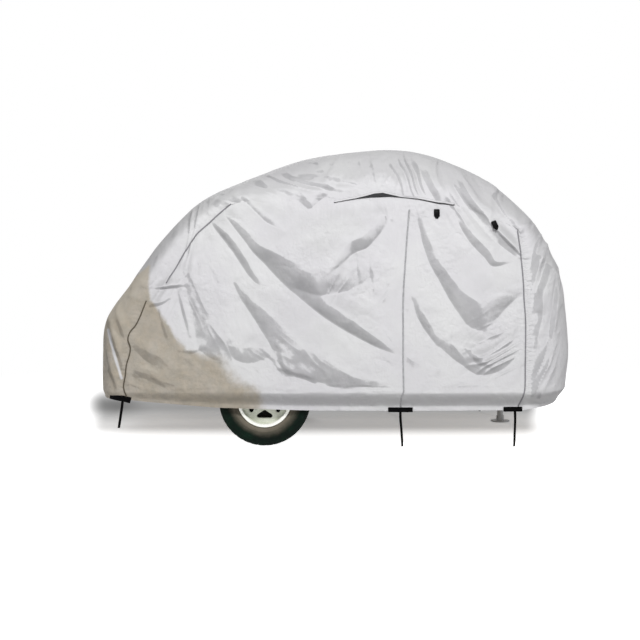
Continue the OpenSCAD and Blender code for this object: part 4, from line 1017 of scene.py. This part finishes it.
bare_strip = cover_strip()
strip, strip_lean = dress_strip(bare_strip)
sides = {side: dress_side(bare_strip, strip, sign) for side, sign in SIDES.items()}
for name, first, last, rests_on in (("rear", 0, REAR_END, "rear_hatch"),
                                    ("roof", REAR_END, ROOF_END, "roof_shell"),
                                    ("front", ROOF_END, len(strip) - 1, "front_shell")):
    rows = np.s_[first:last + 1]
    stays = cut_arch(strip[rows]) if name == "front" else None
    sheet_piece(f"{name}_panel", strip[rows], strip_lean[rows], f"cover_{name}", False,
                stays)
for side, (grid, lean) in sides.items():
    for name, columns in (("side", np.s_[:SIDE_ROWS + 1]), ("door", np.s_[SIDE_ROWS:])):
        sheet_piece(f"{name}_panel_{side}", grid[:, columns], lean[:, columns], f"cover_{name}_{side}",
                    side == "right")


# Trim that is sewn or clipped on the cover
class Skin:
    """Finds the outside of one side of the cover at places on its elevation."""

    NEAREST = 6

    def __init__(self, grid, sign):
        self.points = grid.reshape(-1, 3)
        self.normals = (grid_normals(grid) * sign).reshape(-1, 3)

    def at(self, x, z):
        gap = (self.points[:, 0] - x) ** 2 + (self.points[:, 2] - z) ** 2
        near = np.argpartition(gap, self.NEAREST)[:self.NEAREST]
        weight = 1 / (gap[near] + 1e-5)
        weight /= weight.sum()
        point = np.array([x, (self.points[near, 1] * weight).sum(), z])
        return point, unit((self.normals[near] * weight[:, None]).sum(0))

    def line(self, places, lift):
        found = [self.at(x, z) for x, z in places]
        out = np.array([n for _, n in found])
        return np.array([p for p, _ in found]) + out * lift, out


skins = {side: Skin(sides[side][0], sign) for side, sign in SIDES.items()}

# Tape over a seam, and the wider one round the arch
SEAM_WIDTH = 0.009
SEAM_THICK = 0.005
ARCH_TAPE = 0.016
# The bound seams, the rear one in its lower and upper run: tape, then x and z
SEAMS = {
    "rear_low": (GROUND_LIT_TAPE, [
        (-1.440, 0.352), (-1.436, 0.370), (-1.450, 0.410), (-1.452, 0.444), (-1.438, 0.512), (-1.434, 0.557),
        (-1.428, 0.591), (-1.410, 0.648), (-1.403, 0.699), (-1.418, 0.755), (-1.403, 0.806), (-1.365, 0.852),
        (-1.333, 0.914), (-1.308, 0.976), (-1.290, 1.020)]),
    "rear": (SEAM_TAPE, [
        (-0.709, 1.677), (-0.775, 1.622), (-0.843, 1.561), (-0.905, 1.507), (-0.947, 1.466), (-0.993, 1.398),
        (-1.041, 1.323), (-1.088, 1.241), (-1.129, 1.180), (-1.151, 1.139)]),
    "front": (SEAM_TAPE, [
        (1.258, 0.290), (1.273, 0.332), (1.291, 0.410), (1.293, 0.480), (1.292, 0.616), (1.292, 0.752),
        (1.290, 0.888), (1.279, 1.024), (1.271, 1.160), (1.257, 1.296), (1.238, 1.432), (1.228, 1.496)]),
}


def bind_seams():
    """Tape over the rear and front seams, from the hem up to the roof."""
    for side in SIDES:
        for place, (tape, run) in SEAMS.items():
            line, out = skins[side].line(spline_through(run, 0.008, axes=2), 0.0015)
            band = band_mesh(line, out, SEAM_WIDTH, SEAM_THICK, 0.1)
            sewn_piece(f"seam_tape_{place}_{side}", [band], tape)


def bind_arch():
    """Tape round the edge of the arch in the front panel."""
    up = np.linspace(FRONT_HEM[1] + 0.002, ARCH_TOP - ARCH_ROUND, 24)
    turn = np.linspace(0, 0.5 * np.pi, 16)[1:]
    flat = np.linspace(ARCH_HALF - ARCH_ROUND, 0, 14)[1:]
    y = np.concatenate([0 * up + ARCH_HALF, ARCH_HALF - ARCH_ROUND * (1 - np.cos(turn)), flat])
    z = np.concatenate([up, ARCH_TOP - ARCH_ROUND * (1 - np.sin(turn)), 0 * flat + ARCH_TOP])
    y, z = np.concatenate([y, -y[-2::-1]]), np.concatenate([z, z[-2::-1]])
    panel = strip[ROOF_END:].reshape(-1, 3)
    normals = grid_normals(strip[ROOF_END:]).reshape(-1, 3)
    near = [np.argmin((panel[:, 1] - a) ** 2 + (panel[:, 2] - b) ** 2) for a, b in zip(y, z)]
    line = soften_rows(np.stack([panel[near, 0] + 0.002, y, z], 1), 3)
    out = np.where(normals[near, :1] > 0, normals[near], -normals[near])
    sewn_piece("arch_tape", [band_mesh(line, out, ARCH_TAPE, SEAM_THICK, 0.1)], SEAM_TAPE)


ZIP_TOP = 1.628
ZIP_FOOT = 0.285
TOOTH_HALF = np.array([0.0028, 0, 0])
TOOTH_OFFSET = np.array([0.0012, 0, 0])


def zip_places(first, last, step):
    z = np.linspace(first, last, int((last - first) / step) + 1)
    return list(zip(zip_x_at(z), z))


def upright(middle, *heights):
    """A line through a point at the given heights from it."""
    return [middle + (0, 0, height) for height in heights]


def sew_zips():
    """Zip tapes with a row of moulded teeth, a slider and its pull."""
    tapes, teeth = [], []
    for skin in skins.values():
        line, out = skin.line(zip_places(ZIP_FOOT, ZIP_TOP, 0.01), 0.0012)
        tapes.append(band_mesh(line, out, 0.013, 0.003, 0.1))
        line, out = skin.line(zip_places(ZIP_FOOT + 0.01, ZIP_TOP - 0.012, 0.0075), 0.0032)
        for i, (p, n) in enumerate(zip(line, out)):
            middle = p + TOOTH_OFFSET if i % 2 else p - TOOTH_OFFSET
            teeth.append(band_mesh([middle - TOOTH_HALF, middle + TOOTH_HALF], n, 0.0042, 0.0024))
        head, n = skin.at(*zip_places(ZIP_FOOT, ZIP_TOP - 0.004, 0.01)[-1])
        head = head + n * 0.005
        teeth.append(band_mesh(upright(head, -0.014, 0, 0.012), n, 0.014, 0.006, 0.3))
        teeth.append(band_mesh(upright(head + n * 0.003, -0.044, -0.03, 0), n, 0.009, 0.003, 0.3))
    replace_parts(sewn_piece("door_zip_tapes", tapes, ZIP_TAPE), "door_zips")
    sewn_piece("door_zip_teeth", teeth, ZIP_TEETH, smooth=False)


# The vent below the roof seam: x, z and opening of its slit
VENT = np.array([(-0.014, 1.683, 0.003), (0.060, 1.697, 0.004), (0.136, 1.710, 0.006), (0.200, 1.722, 0.014),
                 (0.258, 1.731, 0.027), (0.315, 1.735, 0.029), (0.367, 1.730, 0.015), (0.435, 1.720, 0.005),
                 (0.550, 1.708, 0.006), (0.605, 1.697, 0.006), (0.673, 1.683, 0.008), (0.740, 1.676, 0.008),
                 (0.800, 1.666, 0.004)])


def sew_vents():
    """A mesh screen in the slit, its dark grey partly the mesh's own colour and partly painted shade, and the
    padded lip that hoods it.
    """
    screens, lips = [], []
    x, z, opening = even_steps(VENT, 0.008, axes=2).T
    for skin in skins.values():
        screens.append(band_mesh(*skin.line(zip(x, z), 0.0025), opening, 0.003))
        lips.append(band_mesh(*skin.line(zip(x, z + 0.5 * opening + 0.006), 0.003), 0.014, 0.008, 0.6))
    sewn_piece("vent_screens", screens, MESH_SCREEN)
    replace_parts(sewn_piece("vent_lips", lips, FABRIC), "vent_flaps")


TAB_HEIGHT = 0.034
TAB_THICK = 0.006
TAB_LIFT = 0.004
# Tabs on the sides: their ends in x. The rear tabs wrap the corner between these two
SIDE_TABS = ((0.361, 0.531), (1.157, 1.287))
REAR_TAB = (-1.552, -1.400)


def sew_tabs():
    """Black webbing folded over the hem where the straps hang."""
    bands = []
    for side, sign in SIDES.items():
        hem = sides[side][0][1]
        for low, high in SIDE_TABS:
            x = np.linspace(low, high, 24)
            y = np.interp(x, hem[:, 0], hem[:, 1]) + sign * TAB_LIFT
            line = np.stack([x, y, np.interp(x, hem[:, 0], hem[:, 2])], 1)
            bands.append(band_mesh(line, (0, sign, 0), TAB_HEIGHT, TAB_THICK, 0.08))
        side_part = hem[hem[:, 0] < REAR_TAB[1]][::-1]
        rear_hem = strip[1, :40] if sign < 0 else strip[1, -40:][::-1]
        rear_part = rear_hem[rear_hem[:, 0] > REAR_TAB[0]]
        line = even_steps(np.vstack([side_part, rear_part[1:]]), 0.006)
        flow = np.gradient(line, axis=0)
        out = np.stack([-sign * flow[:, 1], sign * flow[:, 0], 0 * line[:, 0]], 1)
        out = unit(soften_rows(out * np.sign((out * (line - (-1.2, 0, 0))).sum(1))[:, None], 3))
        line = line + TAB_LIFT * out
        line[:, 2] += 0.004 - 0.16 * (line[:, 0] + 1.465)
        bands.append(band_mesh(line, out, 1.25 * TAB_HEIGHT, TAB_THICK, 0.08))
    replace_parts(sewn_piece("hem_tab_webbing", bands, WEBBING), "hem_tabs")


def pick_faces(piece, test):
    """Selects, in edit mode, the faces whose middle and normal pass a test."""
    bpy.ops.mesh.select_all(action="DESELECT")
    made = bmesh.from_edit_mesh(piece.data)
    for face in made.faces:
        if test(face.calc_center_median(), face.normal):
            face.select_set(True)
    bmesh.update_edit_mesh(piece.data)


def settle(piece):
    """Leaves edit mode and puts the piece's place into its mesh."""
    bpy.ops.object.mode_set(mode="OBJECT")
    alone(piece)
    bpy.ops.object.transform_apply(location=True, rotation=True, scale=True)


def draw_out(*way):
    bpy.ops.mesh.extrude_region_move(TRANSFORM_OT_translate={"value": way})


BUCKLE = (0.040, 0.011, 0.052)
# Places of the buckles on a side: x, z, tilt in degrees
BUCKLE_PLACES = ((0.680, 1.613, 0), (1.068, 1.534, 22))


def mould_buckle():
    """A side-release buckle: rounded body, recessed face and a webbing slot."""
    bpy.ops.object.select_all(action="DESELECT")
    bpy.ops.mesh.primitive_cube_add(size=1)
    piece = bpy.context.object
    edit_all(piece)
    bpy.ops.transform.resize(value=BUCKLE, center_override=(0, 0, 0))
    bpy.ops.mesh.bevel(offset=0.007, segments=3, affect="EDGES")
    pick_faces(piece, lambda middle, normal: normal.y < -0.9)
    bpy.ops.mesh.inset(thickness=0.005, depth=0)
    draw_out(0, 0.003, 0)
    bpy.ops.mesh.inset(thickness=0.004, depth=0)
    draw_out(0, -0.005, 0)
    bpy.ops.transform.resize(value=(0.8, 1, 0.6), center_override=(0, -0.006, 0))
    pick_faces(piece, lambda middle, normal: normal.z < -0.9)
    bpy.ops.mesh.inset(thickness=0.003, depth=0)
    draw_out(0, 0, -0.012)
    bpy.ops.transform.resize(value=(0.7, 0.6, 1), center_override=(0, 0, -0.04))
    settle(piece)
    bevel = piece.modifiers.new("bevel", "BEVEL")
    bevel.width = 0.0007
    bevel.segments = 2
    bpy.ops.object.modifier_apply(modifier=bevel.name)
    return piece


def clip_buckles():
    made = []
    pattern = mould_buckle()
    for side, sign in SIDES.items():
        for x, z, tilt in BUCKLE_PLACES:
            point, normal = skins[side].at(x, z)
            piece = pattern.copy()
            piece.data = pattern.data.copy()
            bpy.context.scene.collection.objects.link(piece)
            turn = Vector((0, -1, 0)).rotation_difference(Vector(normal)).to_matrix().to_4x4()
            lean = Matrix.Rotation(math.radians(-sign * tilt), 4, Vector(normal))
            piece.data.transform(Matrix.Translation(Vector(point + 0.005 * normal)) @ lean @ turn)
            made.append(piece)
    bpy.data.objects.remove(pattern)
    alone(made[0])
    for piece in made:
        piece.select_set(True)
    bpy.ops.object.join()
    buckles = bpy.context.object
    buckles.name = buckles.data.name = "cover_buckles"
    bpy.ops.object.shade_smooth_by_angle(angle=math.radians(40))
    fit_on(buckles, PLASTIC, "trailer")
    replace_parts(buckles, "buckles")


bind_seams()
bind_arch()
sew_zips()
sew_vents()
sew_tabs()
clip_buckles()

# Wheels. Their sections go round in rings: radius, distance outward from the wheel's middle
TYRE_HALF = [
    # Side wall from the bead to the shoulder
    (0.178, 0.070), (0.186, 0.078), (0.193, 0.079), (0.197, 0.084), (0.206, 0.088), (0.215, 0.091),
    (0.219, 0.0935), (0.223, 0.0920), (0.240, 0.0945), (0.256, 0.0950), (0.260, 0.0935), (0.264, 0.0940),
    (0.280, 0.0915), (0.284, 0.0930), (0.292, 0.0905), (0.300, 0.0880), (0.308, 0.0845), (0.3135, 0.0795),
    (0.3165, 0.0740),
    # Tread with two grooves
    (0.3180, 0.058), (0.3100, 0.055), (0.3100, 0.047), (0.3190, 0.044), (0.3205, 0.022), (0.3110, 0.019),
    (0.3110, 0.011), (0.3207, 0.008)]
RIM_LIP = [(0.163, 0.080), (0.167, 0.0865), (0.179, 0.0885), (0.186, 0.0865), (0.188, 0.082), (0.185, 0.079),
           (0.172, 0.078)]
BRAKE_DRUM = [(0.060, 0.007), (0.160, 0.007), (0.163, 0.011), (0.163, 0.023), (0.158, 0.027), (0.070, 0.027)]
# The cap is measured from the hub's outer face
HUB_CAP = [(0.040, -0.004), (0.040, 0.012), (0.037, 0.019), (0.030, 0.023), (0.012, 0.025)]


def turned(name, rings, segments, side, material, closed=True):
    """A piece turned about the axle, each of its rings drawn out of the last."""
    sign = SIDES[side]
    middle = sign * TRACK
    bpy.ops.object.select_all(action="DESELECT")
    radius, along = rings[0]
    bpy.ops.mesh.primitive_circle_add(vertices=segments, radius=radius, rotation=(0.5 * math.pi, 0, 0),
                                      location=(WHEEL_X, middle + sign * along, WHEEL_Z))
    piece = bpy.context.object
    piece.name = piece.data.name = name
    edit_all(piece)
    for next_radius, next_along in rings[1:]:
        draw_out(0, sign * next_along - sign * along, 0)
        scale = next_radius / radius
        bpy.ops.transform.resize(value=(scale, 1, scale), center_override=(WHEEL_X, middle, WHEEL_Z))
        radius, along = next_radius, next_along
    bpy.ops.mesh.select_all(action="DESELECT")
    bpy.ops.mesh.select_non_manifold()
    if closed:
        bpy.ops.mesh.bridge_edge_loops()
    else:
        bpy.ops.mesh.edge_face_add()
    bpy.ops.mesh.select_all(action="SELECT")
    bpy.ops.mesh.normals_make_consistent(inside=False)
    settle(piece)
    bpy.ops.object.shade_smooth_by_angle(angle=math.radians(35))
    fit_on(piece, material, f"wheel_{side}")
    return piece


def cut_tread(tyre, middle):
    """Cross grooves in the shoulder blocks."""

    def in_groove(c, normal):
        radius = math.hypot(c.x - WHEEL_X, c.z - WHEEL_Z)
        around = math.degrees(math.atan2(c.z - WHEEL_Z, c.x - WHEEL_X)) % 360
        return radius > 0.313 and 0.057 < abs(c.y - middle) < 0.079 and int(around / 2.5) % 4 == 0

    edit_all(tyre)
    pick_faces(tyre, in_groove)
    bpy.ops.mesh.extrude_region_shrink_fatten(TRANSFORM_OT_shrink_fatten={"value": -0.006})
    bpy.ops.object.mode_set(mode="OBJECT")


def make_wheel(side, sign):
    rings = TYRE_HALF + [(radius, -along) for radius, along in TYRE_HALF[::-1]]
    tyre = turned(f"tyre_{side}_ribbed", rings, 144, side, RUBBER)
    cut_tread(tyre, sign * TRACK)
    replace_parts(tyre, f"tyre_{side}")
    turned(f"rim_lip_{side}", RIM_LIP, 128, side, LIP)
    # Brake drum, near black as painted shade behind the rim's windows
    turned(f"brake_drum_{side}", BRAKE_DRUM, 96, side, SHADE_DARK_DRUM)
    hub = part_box(f"hub_{side}")
    face = max(abs(hub[0][1]), abs(hub[1][1])) - TRACK
    cap = [(radius, face + along) for radius, along in HUB_CAP]
    turned(f"hub_cap_{side}", cap, 48, side, LIP, closed=False)


for side, sign in SIDES.items():
    make_wheel(side, sign)

# Studio: white floor and surround, a key lamp above the right side and a soft fill from behind the left one
WHITE = (1, 1, 1)
SURROUND_LIGHT = 0.36


def shown_directly(wiring):
    """1 for rays that show a thing straight, off gloss or through glass, and 0 for those that only light."""
    camera = wiring.node("LightPath", out="Is Camera Ray")
    return wiring.node("Math", {"operation": "ADD", "use_clamp": True}, {
        0: camera + camera.beside("Is Glossy Ray"), 1: camera.beside("Is Transmission Ray")})


def make_floor():
    bpy.ops.object.select_all(action="DESELECT")
    bpy.ops.mesh.primitive_plane_add(size=60, location=(0, 0, -0.001))
    floor = bpy.context.object
    floor.name = "floor"
    material = bpy.data.materials.new("floor_white")
    f = Wiring(material)
    place = f.node("TexCoord", out="Object")
    x = f.node("SeparateXYZ", {}, {0: place}, out="X")
    y = x.beside("Y")
    far = f.between(f.node("VectorMath", {"operation": "LENGTH"}, {0: place}, out="Value"), 3.2, 5.0)
    # Soft shade under the trailer, and a fainter trail of it past the rear corner
    skew = x + y * 0.2
    under = f.between(skew, -1.98, -1.74) * f.between(x - y * 0.2, 1.45, 1.62, 1.0, 0.0)
    trail = f.between(skew, -2.02, -1.74) * f.between(skew, -1.7, -1.3, 1.0, 0.0)
    back = f.between(y, 0.45, 1.15, 0.0, 0.5) - f.between(y, 1.3, 2.2, 0.0, 0.5)
    past = f.between(y, 0.1, 1.4, 0.0, 0.5) - f.between(y, 1.4, 4.0, 0.0, 0.5)
    clear = (1 - back * under) * (1 - past * trail)
    dim = (f.between(y, -0.45, 0.12, 0.0, 0.66) + f.between(y, 0.12, 0.6, 0.0, 0.14)
           - f.between(y, 1.5, 2.6, 0.0, 0.7))
    lit = f.node("BsdfDiffuse", {}, {"Color": f.blend(clear, (0, 0, 0), WHITE)})
    haze = f.node("Emission", {}, {"Color": WHITE, "Strength": (1 - dim * under) * clear})
    near = f.node("AddShader", {}, {0: lit, 1: haze})
    glow = f.node("Emission", {}, {"Color": WHITE, "Strength": clear})
    bright = f.node("MixShader", {}, {0: far, 1: near, 2: glow})
    dull = f.node("BsdfDiffuse", {}, {"Color": (0.64, 0.64, 0.635)})
    shown = f.node("MixShader", {}, {0: shown_directly(f), 1: dull, 2: bright})
    # From below, the floor is see-through
    below = f.node("NewGeometry", out="Backfacing")
    shown = f.node("MixShader", {}, {0: below, 1: shown, 2: f.node("BsdfTransparent")})
    f.node("OutputMaterial", {}, {0: shown})
    paint(floor, material)


def make_surround():
    world = bpy.data.worlds.new("surround")
    bpy.context.scene.world = world
    w = Wiring(world)
    plain, white = (w.node("Background", {}, {"Color": WHITE, "Strength": strength})
                    for strength in (SURROUND_LIGHT, 1.0))
    w.node("OutputWorld", {}, {0: w.node("MixShader", {}, {0: shown_directly(w), 1: plain, 2: white})})


def add_lamp(name, place, size, watts):
    """A round lamp that looks at the middle of the trailer."""
    data = bpy.data.lights.new(name, "AREA")
    data.shape = "DISK"
    data.size = size
    data.energy = watts
    lamp = bpy.data.objects.new(name, data)
    lamp.location = place
    lamp.rotation_euler = (Vector((0, 0, 1.0)) - Vector(place)).to_track_quat("-Z", "Y").to_euler()
    bpy.context.scene.collection.objects.link(lamp)


make_floor()
make_surround()
add_lamp("key", (0.7, -7.0, 7.2), 1.8, 650)
add_lamp("back_fill", (-1.5, 8.0, 3.6), 2.5, 200)
